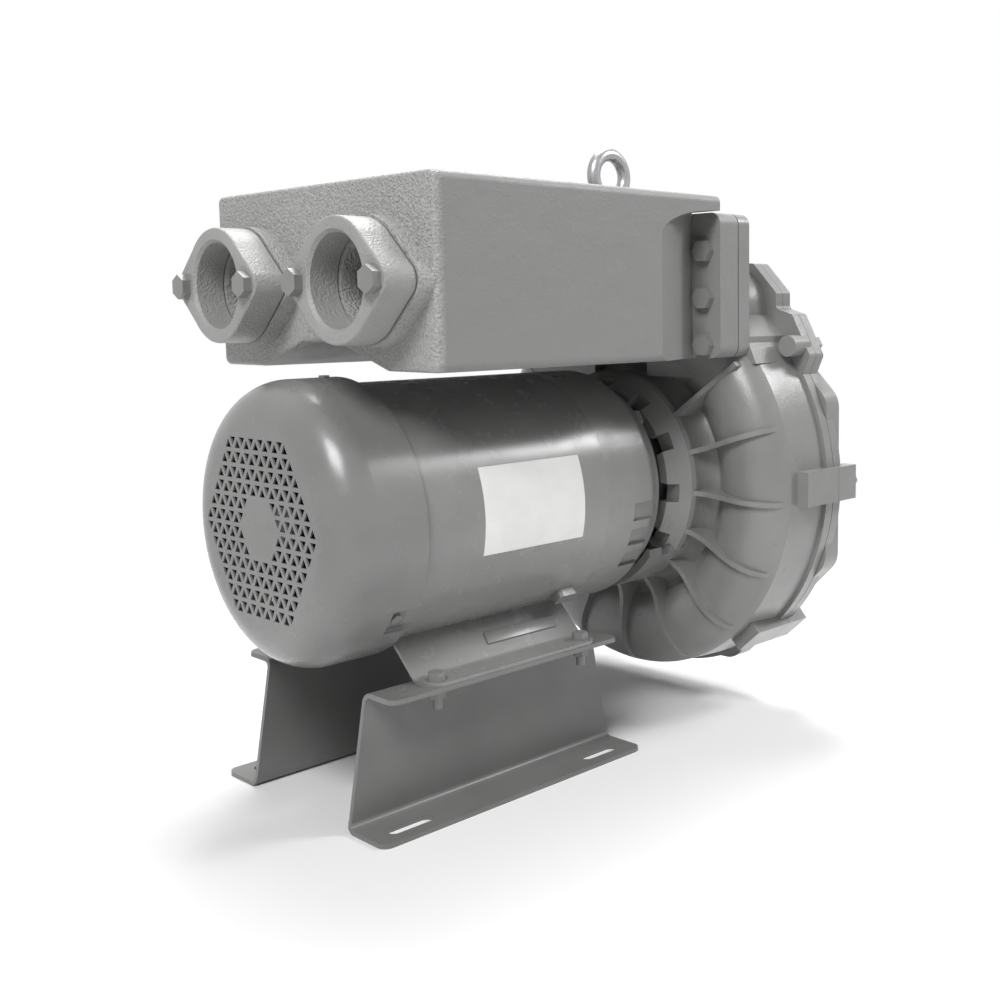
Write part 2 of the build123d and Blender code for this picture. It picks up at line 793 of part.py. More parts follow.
def bracket(side, name):
    """Bent plate from the floor to the motor foot; side is -1 near, 1 far."""
    half_sheet = bracket_sheet / 2
    web_middle = side * (bracket_web_y - half_sheet)
    reach = bracket_length / 2
    top_reach = bracket_top_length / 2
    lean = bracket_sheet + bracket_bend
    with BuildPart() as plate:
        with BuildSketch(across_floor(-reach)) as section:
            with BuildLine():
                FilletPolyline(
                    (side * bracket_foot_y, half_sheet),
                    (web_middle, half_sheet),
                    (web_middle, bracket_height - half_sheet),
                    (side * bracket_top_y, bracket_height - half_sheet),
                    radius=bracket_bend,
                )
            trace(line_width=bracket_sheet)
        extrude(section.sketch, amount=bracket_length)
        with BuildSketch(Plane.XZ) as side_view:
            with BuildLine():
                Polyline(
                    (-reach, 0),
                    (-reach, bracket_sheet),
                    (half_sheet - reach, lean),
                    (-top_reach, bracket_height),
                    (top_reach, bracket_height),
                    (reach - half_sheet, lean),
                    (reach, bracket_sheet),
                    (reach, 0),
                    close=True,
                )
            make_face()
        extrude(side_view.sketch, amount=2 * bracket_foot_y, both=True, mode=Mode.INTERSECT)
        foot_corners = plate.edges().filter_by(
            lambda edge: abs(abs(edge.center().Y) - bracket_foot_y) < 0.1 and edge.length < 2 * bracket_sheet
        )
        fillet(foot_corners, radius=bracket_corner)
        top_corners = plate.edges().filter_by(
            lambda edge: abs(abs(edge.center().Y) - bracket_top_y) < 0.1 and edge.length < 2 * bracket_sheet
        )
        fillet(top_corners, radius=bracket_corner)
        with BuildSketch(Plane.XY) as slots:
            with Locations((-slot_x, side * slot_y), (slot_x, side * slot_y)):
                SlotOverall(slot_length, slot_width)
        extrude(slots.sketch, amount=bracket_sheet, mode=Mode.SUBTRACT)
        with BuildSketch(Plane.XY.offset(bracket_height)) as top_holes:
            with Locations(
                (foot_centre - foot_bolt_spacing / 2, side * foot_bolt_y),
                (foot_centre + foot_bolt_spacing / 2, side * foot_bolt_y),
            ):
                Circle(foot_bolt_radius + fit_gap)
            with Locations((-spare_hole_x, side * spare_hole_y)):
                SlotOverall(spare_hole_length, spare_hole_width)
        extrude(top_holes.sketch, amount=-bracket_sheet, mode=Mode.SUBTRACT)
    save(plate, name)


bracket(-1, "base_bracket_near")
bracket(1, "base_bracket_far")

foot_bolt_places = [
    (foot_centre + sx * foot_bolt_spacing / 2, sy * foot_bolt_y) for sx in (-1, 1) for sy in (-1, 1)
]
foot_top = bracket_height + foot_sheet
flange_under = bracket_height - bracket_sheet
with BuildPart() as foot_washers:
    for level in (foot_top, flange_under - washer_thickness):
        with BuildSketch(Plane.XY.offset(level)) as washers:
            with Locations(*foot_bolt_places):
                Circle(washer_radius)
                Circle(foot_bolt_radius + fit_gap, mode=Mode.SUBTRACT)
        extrude(washers.sketch, amount=washer_thickness)
save(foot_washers, "foot_washers")

nut_top = flange_under - washer_thickness
with BuildPart() as foot_nuts:
    with BuildSketch(Plane.XY.offset(nut_top - nut_height)) as nuts:
        with Locations(*foot_bolt_places):
            RegularPolygon(foot_hex, 6)
            Circle(foot_bolt_radius + seat_gap, mode=Mode.SUBTRACT)
    extrude(nuts.sketch, amount=nut_height)
save(foot_nuts, "foot_nuts")

with BuildPart() as foot_bolts:
    for x, y in foot_bolt_places:
        seat = Plane.XY.offset(foot_top + washer_thickness)
        seat.origin = (x, y, foot_top + washer_thickness)
        grip = foot_top + washer_thickness - nut_top + nut_height + foot_bolt_spare
        hex_bolt(seat, foot_bolt_radius, grip, foot_hex, foot_bolt_head)
save(foot_bolts, "foot_bolts")

# Joint outline shared by the casing, its gasket and its cover
cover_start = split_x + gasket_thickness
land_x = impeller_x - impeller_width / 2 - side_gap
cover_land_x = impeller_x + impeller_width / 2 + side_gap
tip_radius = impeller_radius + tip_gap
land_inner = channel_inner - 16
web_x = land_x - 8
channel_floor = crown_x + casing_wall
cover_channel_floor = cover_land_x + (land_x - channel_floor)
manifold_joint = flange_face + box_flange + manifold_gasket_thickness
neck_half = [
    (tip_y - 40, tip_z - 90),
    (tip_y, tip_z),
    (shoulder_y, shoulder_z),
    (neck_y, neck_z),
    (neck_y, neck_slope_z),
    (neck_top_y, neck_top),
]
neck_outline = neck_half + [(-y, z) for y, z in reversed(neck_half)]
bolt_circle_places = [polar_yz(angle, cover_bolt_circle) for angle in lug_angles]
joint_bolts = [(y, z + shaft_height) for y, z in bolt_circle_places]
joint_bolts += [(-tip_bolt_y, tip_bolt_z), (tip_bolt_y, tip_bolt_z)]


def joint_plate(start, length, radius):
    """Round joint flange with the shouldered plate round the two ducts."""
    with BuildSketch(across(start)) as disc:
        Circle(radius)
    extrude(disc.sketch, amount=length)
    with BuildSketch(across_floor(start)) as shoulders:
        with BuildLine():
            FilletPolyline(*neck_outline, radius=shoulder_bend, close=True)
        make_face()
    extrude(shoulders.sketch, amount=length)


def lugs(start, length):
    """Square lugs on the rim for the cover bolts."""
    for angle in lug_angles:
        with BuildSketch(outward(angle, lug_radius)) as lug:
            with Locations((start + length / 2, 0)):
                Rectangle(length, lug_width)
        extrude(lug.sketch, amount=register_bore + 4 - lug_radius)


def bolt_holes(start, length, radius):
    """Holes through the joint for the cover bolts."""
    with BuildSketch(across_floor(start)) as holes:
        with Locations(*joint_bolts):
            Circle(radius)
    extrude(holes.sketch, amount=length, mode=Mode.SUBTRACT)


def duct_bores(start, length, mode=Mode.SUBTRACT):
    """The two air passages that run along the shaft direction above the channel."""
    with BuildSketch(across_floor(start)) as bores:
        with Locations((-duct_bore_y, duct_bore_z), (duct_bore_y, duct_bore_z)):
            Circle(duct_bore)
    extrude(bores.sketch, amount=length, mode=mode)


def channel_void(floor_x, land, far_x):
    """Ring channel with rounded floor, broken by the stripper at the top."""
    corner = channel_corner if land > floor_x else -channel_corner
    bend = channel_corner if land > floor_x else -channel_corner
    start_angle = 90 - stripper_span / 2
    start_plane = Plane(
        origin=(0, 0, shaft_height),
        x_dir=(1, 0, 0),
        z_dir=(0, -sin(radians(start_angle)), -cos(radians(start_angle))),
    )
    with BuildPart() as void:
        with BuildSketch(start_plane) as section:
            with BuildLine():
                Polyline(
                    (floor_x + corner, channel_outer),
                    (far_x, channel_outer),
                    (far_x, tip_radius - 1),
                    (land, tip_radius - 1),
                    (land, channel_inner),
                    (floor_x + corner, channel_inner),
                )
                RadiusArc((floor_x + corner, channel_inner), (floor_x, channel_inner + channel_corner), bend)
                Line((floor_x, channel_inner + channel_corner), (floor_x, channel_outer - channel_corner))
                RadiusArc((floor_x, channel_outer - channel_corner), (floor_x + corner, channel_outer), bend)
            make_face()
        revolve(section.sketch, axis=shaft_line, revolution_arc=360 - stripper_span)
    return void.part


# Blower casing: turned form with ring channel, ribs, castellated ring, ducts and flange
with BuildPart() as blower_casing:
    with BuildSketch(axial) as casing_profile:
        with BuildLine():
            Polyline(
                (ring_floor_x, seal_bore_radius),
                (ring_floor_x, ring_inner_radius),
                (ring_front, ring_inner_radius),
                (ring_front, ring_tip_radius),
                (collar_x, collar_radius),
                (collar_x + 5, collar_radius + 1.5),
            )
            ThreePointArc(
                (collar_x + 5, collar_radius + 1.5),
                (valley_x - 7, valley_radius - 6),
                (valley_x, valley_radius),
            )
            Line((valley_x, valley_radius), (valley_x - 3, valley_radius + 6))
            ThreePointArc(
                (valley_x - 3, valley_radius + 6),
                (crown_x + 5.5, crown_radius - 20),
                (crown_x, crown_radius),
            )
            ThreePointArc(
                (crown_x, crown_radius),
                (crown_x + 7, crown_radius + 29),
                (shoulder_x, casing_radius - 3),
            )
            Polyline(
                (shoulder_x, casing_radius - 3),
                (split_x - rim_thickness, casing_radius),
                (split_x - rim_thickness, rim_radius),
                (split_x, rim_radius),
                (split_x, tip_radius),
                (land_x, tip_radius),
                (land_x, land_inner),
                (web_x, land_inner - 2),
                (web_x, seal_bore_radius),
                (ring_floor_x, seal_bore_radius),
            )
        make_face()
    revolve(axis=shaft_line)
    sleeve(face_end + register_length, face_end + flange_length, flange_radius, register_radius - 2)
    sleeve(face_end, face_end + register_length, flange_radius, register_radius + seat_gap)
    sleeve(face_end + flange_length, ring_floor_x + 2, hub_tube_radius, hub_tube_radius - hub_tube_wall)
    with BuildSketch(across(saddle_front)) as saddle:
        Circle(saddle_radius)
        Circle(flange_radius + 1, mode=Mode.SUBTRACT)
        with Locations((0, -saddle_radius - saddle_drop)):
            Rectangle(2 * saddle_half_width, 2 * saddle_radius, mode=Mode.INTERSECT)
    extrude(saddle.sketch, amount=collar_x + 6 - saddle_front)
    for index in range(rib_count):
        angle = rib_first - rib_step * index
        rib_plane = Plane(
            origin=(0, 0, shaft_height),
            x_dir=(1, 0, 0),
            z_dir=(0, -sin(radians(angle)), -cos(radians(angle))),
        )
        with BuildSketch(rib_plane) as rib:
            with BuildLine():
                Spline(
                    (collar_x + 1, collar_radius),
                    (collar_x + 7, crown_radius - 30),
                    (crown_x - 7, crown_radius + 4),
                    (crown_x + 0.5, crown_radius + 27),
                    (shoulder_x - 7, casing_radius - 6),
                )
                Polyline(
                    (shoulder_x - 7, casing_radius - 6),
                    (crown_x + 6, crown_radius + 18),
                    (crown_x + 5, crown_radius),
                    (valley_x - 2, valley_radius + 8),
                    (valley_x + 2, valley_radius - 2),
                    (collar_x + 12, collar_radius - 4),
                    (collar_x + 1, collar_radius),
                )
            make_face()
        extrude(rib.sketch, amount=rib_thickness / 2, both=True)
    for angle in (gusset_angle, 180 - gusset_angle):
        rib_plane = Plane(
            origin=(0, 0, shaft_height),
            x_dir=(1, 0, 0),
            z_dir=(0, -sin(radians(angle)), -cos(radians(angle))),
        )
        with BuildSketch(rib_plane) as gusset:
            with BuildLine():
                Polyline(
                    (collar_x, collar_radius),
                    (ring_floor_x, gusset_reach),
                    (ring_floor_x + 10, gusset_reach),
                    (crown_x + 5, crown_radius),
                    (valley_x - 2, valley_radius + 8),
                    (valley_x + 2, valley_radius - 2),
                    (collar_x + 12, collar_radius - 4),
                    close=True,
                )
            make_face()
        extrude(gusset.sketch, amount=rib_thickness / 2, both=True)
    joint_plate(split_x - rim_thickness, rim_thickness, rim_radius)
    lugs(lug_front, split_x - lug_front)
    with BuildSketch(Plane.XY.offset(box_bottom - fit_gap)) as joint_clearance:
        with Locations(((face_end + manifold_joint) / 2, 0)):
            Rectangle(manifold_joint - face_end, 2 * box_half_width + 2)
    extrude(joint_clearance.sketch, amount=neck_top - box_bottom, mode=Mode.SUBTRACT)
    with BuildSketch(across_floor(manifold_joint)) as flange_outline:
        with Locations((0, (box_bottom + box_flange_top) / 2)):
            RectangleRounded(2 * box_half_width, box_flange_top - box_bottom, flange_edge)
    extrude(flange_outline.sketch, amount=casing_flange)
    with BuildSketch(across_floor(manifold_joint + 1)) as ducts:
        for side in (-1, 1):
            with Locations((side * duct_y, duct_z)):
                Circle(duct_radius)
            with Locations((side * duct_y, (duct_z + duct_foot_z) / 2)):
                Rectangle(2 * duct_radius, duct_z - duct_foot_z)
    extrude(ducts.sketch, amount=split_x - manifold_joint - 1)
    with BuildSketch(across_floor(manifold_joint + casing_flange)) as ledges:
        for side in (-1, 1):
            with BuildLine():
                Polyline(
                    (side * (duct_y + duct_radius), duct_z),
                    (side * (duct_y + duct_radius + ledge_reach), ledge_z + ledge_lip),
                    (side * (duct_y + duct_radius + ledge_reach), ledge_z),
                    (side * (duct_y + duct_radius + ledge_skirt), ledge_z - ledge_drop),
                    (side * duct_y, ledge_z - ledge_drop),
                    (side * duct_y, duct_z),
                    close=True,
                )
            make_face()
    extrude(ledges.sketch, amount=split_x - manifold_joint - casing_flange - rim_thickness / 2)
    with BuildSketch(across_floor(split_x - cover_bolt_depth - 3)) as bosses:
        with Locations(*joint_bolts[-2:]):
            Circle(tip_boss_radius)
    extrude(bosses.sketch, amount=cover_bolt_depth)
    sleeve(web_x, land_x, land_inner - 2, mode=Mode.SUBTRACT)
    sleeve(land_x, split_x, tip_radius, mode=Mode.SUBTRACT)
    add(channel_void(channel_floor, land_x, split_x), mode=Mode.SUBTRACT)
    sleeve(split_x - register_depth, split_x, register_bore, mode=Mode.SUBTRACT)
    duct_bores(manifold_joint, split_x - manifold_joint)
    for index in range(notch_count):
        if index not in notches_left_out:
            with BuildSketch(outward(first_notch + 360 * index / notch_count, ring_inner_radius - 5)) as notch:
                with Locations((ring_front + ring_notch_depth / 2, 0)):
                    Rectangle(ring_notch_depth, ring_notch_width)
            extrude(notch.sketch, amount=30.0, mode=Mode.SUBTRACT)
    with BuildSketch(across(face_end)) as face_holes:
        with PolarLocations(face_bolt_circle, 4, start_angle=45):
            Circle(face_bolt_radius + fit_gap)
    extrude(face_holes.sketch, amount=flange_length, mode=Mode.SUBTRACT)
    with BuildSketch(across_floor(manifold_joint)) as stud_holes:
        for side in (-1, 1):
            with Locations((side * manifold_bolt_y, manifold_bolt_z)):
                with GridLocations(1, manifold_bolt_pitch, 1, 3):
                    Circle(manifold_bolt_radius + seat_gap)
    extrude(stud_holes.sketch, amount=casing_flange - 2, mode=Mode.SUBTRACT)
    bolt_holes(split_x - cover_bolt_depth, cover_bolt_depth, cover_bolt_radius + seat_gap)
    sleeve(ring_floor_x - 1, land_x, seal_bore_radius, mode=Mode.SUBTRACT)
save(blower_casing, "blower_casing")

# Bolts that hold the casing to the motor's face
with BuildPart() as motor_face_bolts:
    for index in range(4):
        y, z = polar_yz(45 + 90 * index, face_bolt_circle)
        seat = Plane(
            origin=(face_end + flange_length, y, shaft_height + z), x_dir=(0, 1, 0), z_dir=(1, 0, 0)
        )
        hex_bolt(seat, face_bolt_radius, flange_length + face_bolt_depth - 1, face_bolt_reach, face_bolt_head)
save(motor_face_bolts, "motor_face_bolts")

# Lip seal round the shaft in the casing's web
with BuildPart() as shaft_seal:
    lip_radius = shaft_extension_radius + 0.06
    turned(
        (seal_x, seal_bore_radius - seat_gap),
        (seal_x + seal_width, seal_bore_radius - seat_gap),
        (seal_x + seal_width, lip_radius + 3),
        (seal_x + seal_width - 3, lip_radius),
        (seal_x + seal_width - 4.5, lip_radius),
        (seal_x + 2, lip_radius + 4),
        (seal_x, lip_radius + 4),
    )
save(shaft_seal, "shaft_seal")

# Gasket between the casing and its cover
with BuildPart() as casing_gasket:
    joint_plate(split_x, gasket_thickness, rim_radius - 1)
    lugs(split_x, gasket_thickness)
    sleeve(split_x, split_x + gasket_thickness, register_bore, mode=Mode.SUBTRACT)
    duct_bores(split_x, gasket_thickness)
    bolt_holes(split_x, gasket_thickness, cover_bolt_radius + fit_gap)
save(casing_gasket, "casing_gasket")

# Outer cover: spigot, octagonal plate, turned bulge with radial ribs and hub cap
octagon_end = cover_start + octagon_depth
spigot_radius = register_bore - spigot_gap
with BuildPart() as blower_cover:
    with BuildSketch(axial) as cover_profile:
        with BuildLine():
            Polyline(
                (cover_land_x, 0),
                (cover_land_x, tip_radius - fit_gap),
                (split_x - register_depth + fit_gap, tip_radius - fit_gap),
                (split_x - register_depth + fit_gap, spigot_radius),
                (cover_start, spigot_radius),
                (cover_start, rim_radius),
                (cover_start + cover_plate, rim_radius),
                (cover_start + cover_plate + 2, casing_radius - 3),
            )
            ThreePointArc(
                (cover_start + cover_plate + 2, casing_radius - 3),
                (cover_crown_x - 5, crown_radius + 26),
                (cover_crown_x, crown_radius),
            )
            ThreePointArc(
                (cover_crown_x, crown_radius),
                (cover_crown_x - 6, crown_radius - 22),
                (cover_crown_x - 16, crown_radius - 35),
            )
            Polyline(
                (cover_crown_x - 16, crown_radius - 35),
                (cover_crown_x - 16, hub_cap_radius + 6),
                (cover_end - 6, hub_cap_radius),
                (cover_end, hub_cap_radius - 6),
                (cover_end, 0),
                (cover_land_x, 0),
            )
        make_face()
    revolve(axis=shaft_line)
    with BuildSketch(across(cover_start)) as octagon:
        RegularPolygon(octagon_apothem, 8, major_radius=False, rotation=22.5)
        fillet(octagon.vertices(), radius=octagon_corner)
    extrude(octagon.sketch, amount=octagon_depth)
    joint_plate(cover_start, cover_plate, rim_radius)
    with BuildSketch(across_floor(cover_start)) as duct_caps:
        with Locations((-duct_y, duct_z), (duct_y, duct_z)):
            Circle(duct_cap_radius)
    extrude(duct_caps.sketch, amount=duct_cap_end - cover_start)
    cap_rims = blower_cover.edges().filter_by(GeomType.CIRCLE).filter_by(
        lambda edge: abs(edge.radius - duct_cap_radius) < 0.01 and abs(edge.center().X - duct_cap_end) < 0.1
    )
    fillet(cap_rims, radius=duct_cap_corner)
    lugs(cover_start, lug_length_cover)
    for index in range(cover_rib_count):
        with BuildSketch(outward(360 * (index + 0.5) / cover_rib_count)) as rib:
            with Locations(((cover_crown_x + cover_start) / 2, 0)):
                Rectangle(cover_crown_x - cover_start + 6, rib_thickness)
        extrude(rib.sketch, amount=crown_radius + 8)
    sleeve(cover_land_x - 1, hub_pocket_x, hub_pocket_radius, mode=Mode.SUBTRACT)
    sleeve(cover_land_x - 1, split_x, land_inner - 6, hub_pocket_radius - 1, mode=Mode.SUBTRACT)
    add(channel_void(cover_channel_floor, cover_land_x, cover_land_x - 4), mode=Mode.SUBTRACT)
    with BuildSketch(across_floor(cover_land_x)) as bores:
        with Locations((-duct_bore_y, duct_bore_z), (duct_bore_y, duct_bore_z)):
            Circle(duct_bore)
    extrude(bores.sketch, amount=cover_start + cover_plate / 2 - cover_land_x, mode=Mode.SUBTRACT)
    bolt_holes(cover_start - 1, 2 * lug_length_cover, cover_bolt_radius + fit_gap)
save(blower_cover, "blower_cover")

# Bolts round the joint, heads on the cover side
with BuildPart() as cover_bolts:
    for y, z in joint_bolts:
        in_lug = (y, z) not in joint_bolts[-2:]
        seat_x = cover_start + (lug_length_cover if in_lug else cover_plate)
        if not in_lug:
            seat_x = max(seat_x, octagon_end if abs(y) + abs(z - shaft_height) < octagon_apothem * sqrt(2) else 0)
        seat = Plane(origin=(seat_x, y, z), x_dir=(0, 1, 0), z_dir=(1, 0, 0))
        hex_bolt(seat, cover_bolt_radius, seat_x - split_x + cover_bolt_depth - 2, cover_hex, cover_bolt_head)
save(cover_bolts, "cover_bolts")

# Impeller: hub, disc and root ring with radial vanes on both sides of a splitter
impeller_start = impeller_x - impeller_width / 2
impeller_end = impeller_x + impeller_width / 2
hub_start = impeller_x - impeller_hub_length / 2
hub_end = impeller_x + impeller_hub_length / 2
with BuildPart() as impeller:
    sleeve(hub_start, hub_end, impeller_hub_radius, shaft_extension_radius + seat_gap)
    sleeve(impeller_x - impeller_disc / 2, impeller_x + impeller_disc / 2, channel_inner - 1, impeller_hub_radius)
    sleeve(impeller_start, impeller_end, channel_inner, channel_inner - impeller_root_wall)
    sleeve(
        impeller_x - impeller_splitter / 2,
        impeller_x + impeller_splitter / 2,
        impeller_radius - 4,
        channel_inner - 1,
    )
    with BuildSketch(across(impeller_start)) as vanes:
        with PolarLocations((channel_inner + impeller_radius) / 2 - 0.5, vane_count):
            Rectangle(impeller_radius - channel_inner + 1, vane_thickness)
    extrude(vanes.sketch, amount=impeller_width)
    with BuildSketch(across(impeller_x - impeller_disc / 2)) as balance_holes:
        with PolarLocations(channel_inner * 0.62, 6):
            Circle(13.0)
    extrude(balance_holes.sketch, amount=impeller_disc, mode=Mode.SUBTRACT)
    with BuildSketch(across(hub_start)) as keyway:
        with Locations((0, shaft_extension_radius)):
            Rectangle(key_width + seat_gap, key_height + key_clearance)
    extrude(keyway.sketch, amount=impeller_hub_length, mode=Mode.SUBTRACT)
save(impeller, "impeller")

with BuildPart() as impeller_key:
    with BuildSketch(axial) as key_face:
        with Locations((impeller_x, shaft_extension_radius)):
            Rectangle(key_length - seat_gap, key_height - seat_gap)
    extrude(key_face.sketch, amount=key_width / 2 - seat_gap, both=True)
save(impeller_key, "impeller_key")

with BuildPart() as impeller_washer_ring:
    sleeve(hub_end, hub_end + impeller_washer, shaft_extension_radius + 6, impeller_bolt_radius + seat_gap)
save(impeller_washer_ring, "impeller_washer")

with BuildPart() as impeller_bolt:
    seat = Plane(
        origin=(hub_end + impeller_washer, 0, shaft_height), x_dir=(0, 1, 0), z_dir=(1, 0, 0)
    )
    hex_bolt(seat, impeller_bolt_radius, impeller_bolt_length, impeller_hex, impeller_bolt_head)
save(impeller_bolt, "impeller_bolt")

# Manifold box: lobed cast box with two chambers and a bolting flange behind
lobe_half = [
    (box_valley_half, box_valley_z),
    (box_lobe_inner, box_bottom),
    (box_half_width, box_bottom),
    (box_half_width, box_top),
]
box_outline = lobe_half + [(-y, z) for y, z in reversed(lobe_half)]
box_length = flange_face - box_front


def recess_cut(side, inset, top):
    """Wedge cut from one side of the box to bare the flange's bolts."""
    spread = 5.0
    run_out = spread * (flange_face - recess_start) / recess_depth
    with BuildPart() as wedge:
        with BuildSketch(Plane.XY.offset(box_bottom - 1)) as plan:
            with BuildLine():
                Polyline(
                    (recess_start, side * (box_half_width - inset)),
                    (flange_face, side * (box_half_width - inset - recess_depth)),
                    (flange_face, side * (box_half_width + spread)),
                    (recess_start - run_out, side * (box_half_width + spread)),
                    close=True,
                )
            make_face()
        extrude(plan.sketch, amount=top - box_bottom + 1)
    return wedge.part


def arched_recess(side):
    """The wedge with its top rounded down towards the front."""
    with BuildPart() as recess:
        add(recess_cut(side, 0.0, recess_top))
        with BuildSketch(Plane.XZ) as side_view:
            with BuildLine():
                Polyline(
                    (recess_start, recess_spring),
                    (recess_start, box_bottom - 1),
                    (flange_face, box_bottom - 1),
                    (flange_face, recess_top),
                )
                EllipticalCenterArc(
                    (flange_face, recess_spring),
                    flange_face - recess_start,
                    recess_top - recess_spring,
                    start_angle=90,
                    arc_size=90,
                )
            make_face()
        extrude(side_view.sketch, amount=box_half_width + 10, both=True, mode=Mode.INTERSECT)
    return recess.part


def chamber(side, inset):
    """Inner space on one side of the box, smaller by an inset all round."""
    wall = box_wall + inset
    points = [
        (side * (box_wall / 2 + inset), box_top - wall),
        (side * (box_half_width - wall), box_top - wall),
        (side * (box_half_width - wall), box_bottom + wall),
        (side * (box_lobe_inner + wall / 4), box_bottom + wall),
        (side * (box_valley_half + wall / 2), box_valley_z + wall),
        (side * (box_wall / 2 + inset), box_valley_z + wall),
    ]
    with BuildPart() as void:
        with BuildSketch(across_floor(box_front + wall)) as outline:
            with BuildLine():
                Polyline(*points, close=True)
            make_face()
        extrude(outline.sketch, amount=box_length - 2 * wall)
        add(recess_cut(side, wall, box_top), mode=Mode.SUBTRACT)
    return void.part


def lozenge(plane, margin=0.0):
    """Two-bolt flange outline: a circle drawn out to a tip at each side."""
    with BuildSketch(plane) as outline:
        Circle(port_outer + margin)
        with Locations((port_bolt_y, 0), (-port_bolt_y, 0)):
            Circle(port_tip_radius + margin)
        make_hull()
    return outline.sketch


def port_plane(x, side):
    """Plane at x facing along the shaft direction, centred on a port."""
    return Plane(origin=(x, side * port_y, port_z), x_dir=(0, 1, 0), z_dir=(1, 0, 0))


pad_front = box_front - port_pad
port_back = pad_front - port_gasket
port_front = port_back - port_flange
rear_wall = flange_face + box_flange
with BuildPart() as manifold_box:
    with BuildSketch(across_floor(box_front)) as outline:
        with BuildLine():
            Polyline(*box_outline, close=True)
        make_face()
        fillet(outline.vertices(), radius=box_edge)
    extrude(outline.sketch, amount=box_length)
    for side in (-1, 1):
        add(arched_recess(side), mode=Mode.SUBTRACT)
    fillet(manifold_box.faces().sort_by(Axis.X)[0].edges(), radius=box_edge / 2)
    with BuildSketch(across_floor(flange_face)) as flange_outline:
        with Locations((0, (box_bottom + box_flange_top) / 2)):
            RectangleRounded(2 * box_half_width, box_flange_top - box_bottom, flange_edge)
    extrude(flange_outline.sketch, amount=box_flange)
    for side in (-1, 1):
        extrude(lozenge(port_plane(pad_front, side), port_pad_margin), amount=port_pad)
    for side in (-1, 1):
        add(chamber(side, 0.0), mode=Mode.SUBTRACT)
        with BuildSketch(port_plane(pad_front, side)) as throat:
            Circle(port_throat)
        extrude(throat.sketch, amount=port_pad + 2 * box_wall, mode=Mode.SUBTRACT)
        with BuildSketch(port_plane(pad_front, side)) as tapped:
            with Locations((port_bolt_y, 0), (-port_bolt_y, 0)):
                Circle(port_bolt_radius + seat_gap)
        extrude(tapped.sketch, amount=port_bolt_depth, mode=Mode.SUBTRACT)
        with BuildSketch(across_floor(flange_face)) as bolt_holes_rear:
            with Locations((side * manifold_bolt_y, manifold_bolt_z)):
                with GridLocations(1, manifold_bolt_pitch, 1, 3):
                    Circle(manifold_bolt_radius + fit_gap)
        extrude(bolt_holes_rear.sketch, amount=box_flange, mode=Mode.SUBTRACT)
    duct_bores(flange_face - 2 * box_wall, box_flange + 2 * box_wall)
    with BuildSketch(Plane.XY.offset(box_flange_top)) as eye_hole:
        with Locations((eye_x, 0)):
            Circle(eye_shank_radius + seat_gap)
    extrude(eye_hole.sketch, amount=-eye_shank_length - 2, mode=Mode.SUBTRACT)
save(manifold_box, "manifold_box")

with BuildPart() as manifold_gasket:
    with BuildSketch(across_floor(rear_wall)) as sheet:
        with Locations((0, (box_bottom + box_flange_top) / 2)):
            RectangleRounded(2 * box_half_width - 2, box_flange_top - box_bottom - 2, flange_edge)
        with Locations((-duct_bore_y, duct_bore_z), (duct_bore_y, duct_bore_z)):
            Circle(duct_bore, mode=Mode.SUBTRACT)
        for side in (-1, 1):
            with Locations((side * manifold_bolt_y, manifold_bolt_z)):
                with GridLocations(1, manifold_bolt_pitch, 1, 3):
                    Circle(manifold_bolt_radius + fit_gap, mode=Mode.SUBTRACT)
    extrude(sheet.sketch, amount=manifold_gasket_thickness)
save(manifold_gasket, "manifold_gasket")

with BuildPart() as manifold_bolts:
    for side in (-1, 1):
        for step in (-1, 0, 1):
            seat = Plane(
                origin=(flange_face, side * manifold_bolt_y, manifold_bolt_z + step * manifold_bolt_pitch),
                x_dir=(0, 1, 0),
                z_dir=(-1, 0, 0),
            )
            grip = box_flange + manifold_gasket_thickness + casing_flange - 4
            hex_bolt(seat, manifold_bolt_radius, grip, flange_hex, flange_bolt_head)
save(manifold_bolts, "manifold_bolts")

# Sound-absorbing foam in each chamber, with a clear way through
for side, name in ((-1, "silencer_foam_near"), (1, "silencer_foam_far")):
    with BuildPart() as foam:
        add(chamber(side, 0.4))
        with BuildSketch(port_plane(box_front, side)) as way:
            Circle(foam_bore)
        extrude(way.sketch, amount=box_length, mode=Mode.SUBTRACT)
        duct_bores(flange_face - 60, 60)
    save(foam, name)

# Threaded port flanges with their gaskets and bolts
for side, name in ((-1, "near"), (1, "far")):
    with BuildPart() as port:
        extrude(lozenge(port_plane(port_front, side)), amount=port_flange)
        with BuildSketch(port_plane(port_front, side)) as bore:
            Circle(port_bore)
        extrude(bore.sketch, amount=port_flange, mode=Mode.SUBTRACT)
        mouth = port.edges().filter_by(GeomType.CIRCLE).filter_by(
            lambda edge: abs(edge.radius - port_bore) < 0.01 and abs(edge.center().X - port_front) < 0.01
        )
        chamfer(mouth, length=port_chamfer)
        with BuildSketch(port_plane(port_front, side)) as bolt_ways:
            with Locations((port_bolt_y, 0), (-port_bolt_y, 0)):
                Circle(port_bolt_radius + fit_gap)
        extrude(bolt_ways.sketch, amount=port_flange, mode=Mode.SUBTRACT)
    save(port, f"port_flange_{name}")
    with BuildPart() as port_seal:
        extrude(lozenge(port_plane(port_back, side)), amount=port_gasket)
        with BuildSketch(port_plane(port_back, side)) as ways:
            Circle(port_bore + port_gasket_relief)
            with Locations((port_bolt_y, 0), (-port_bolt_y, 0)):
                Circle(port_bolt_radius + fit_gap)
        extrude(ways.sketch, amount=port_gasket, mode=Mode.SUBTRACT)
    save(port_seal, f"port_gasket_{name}")

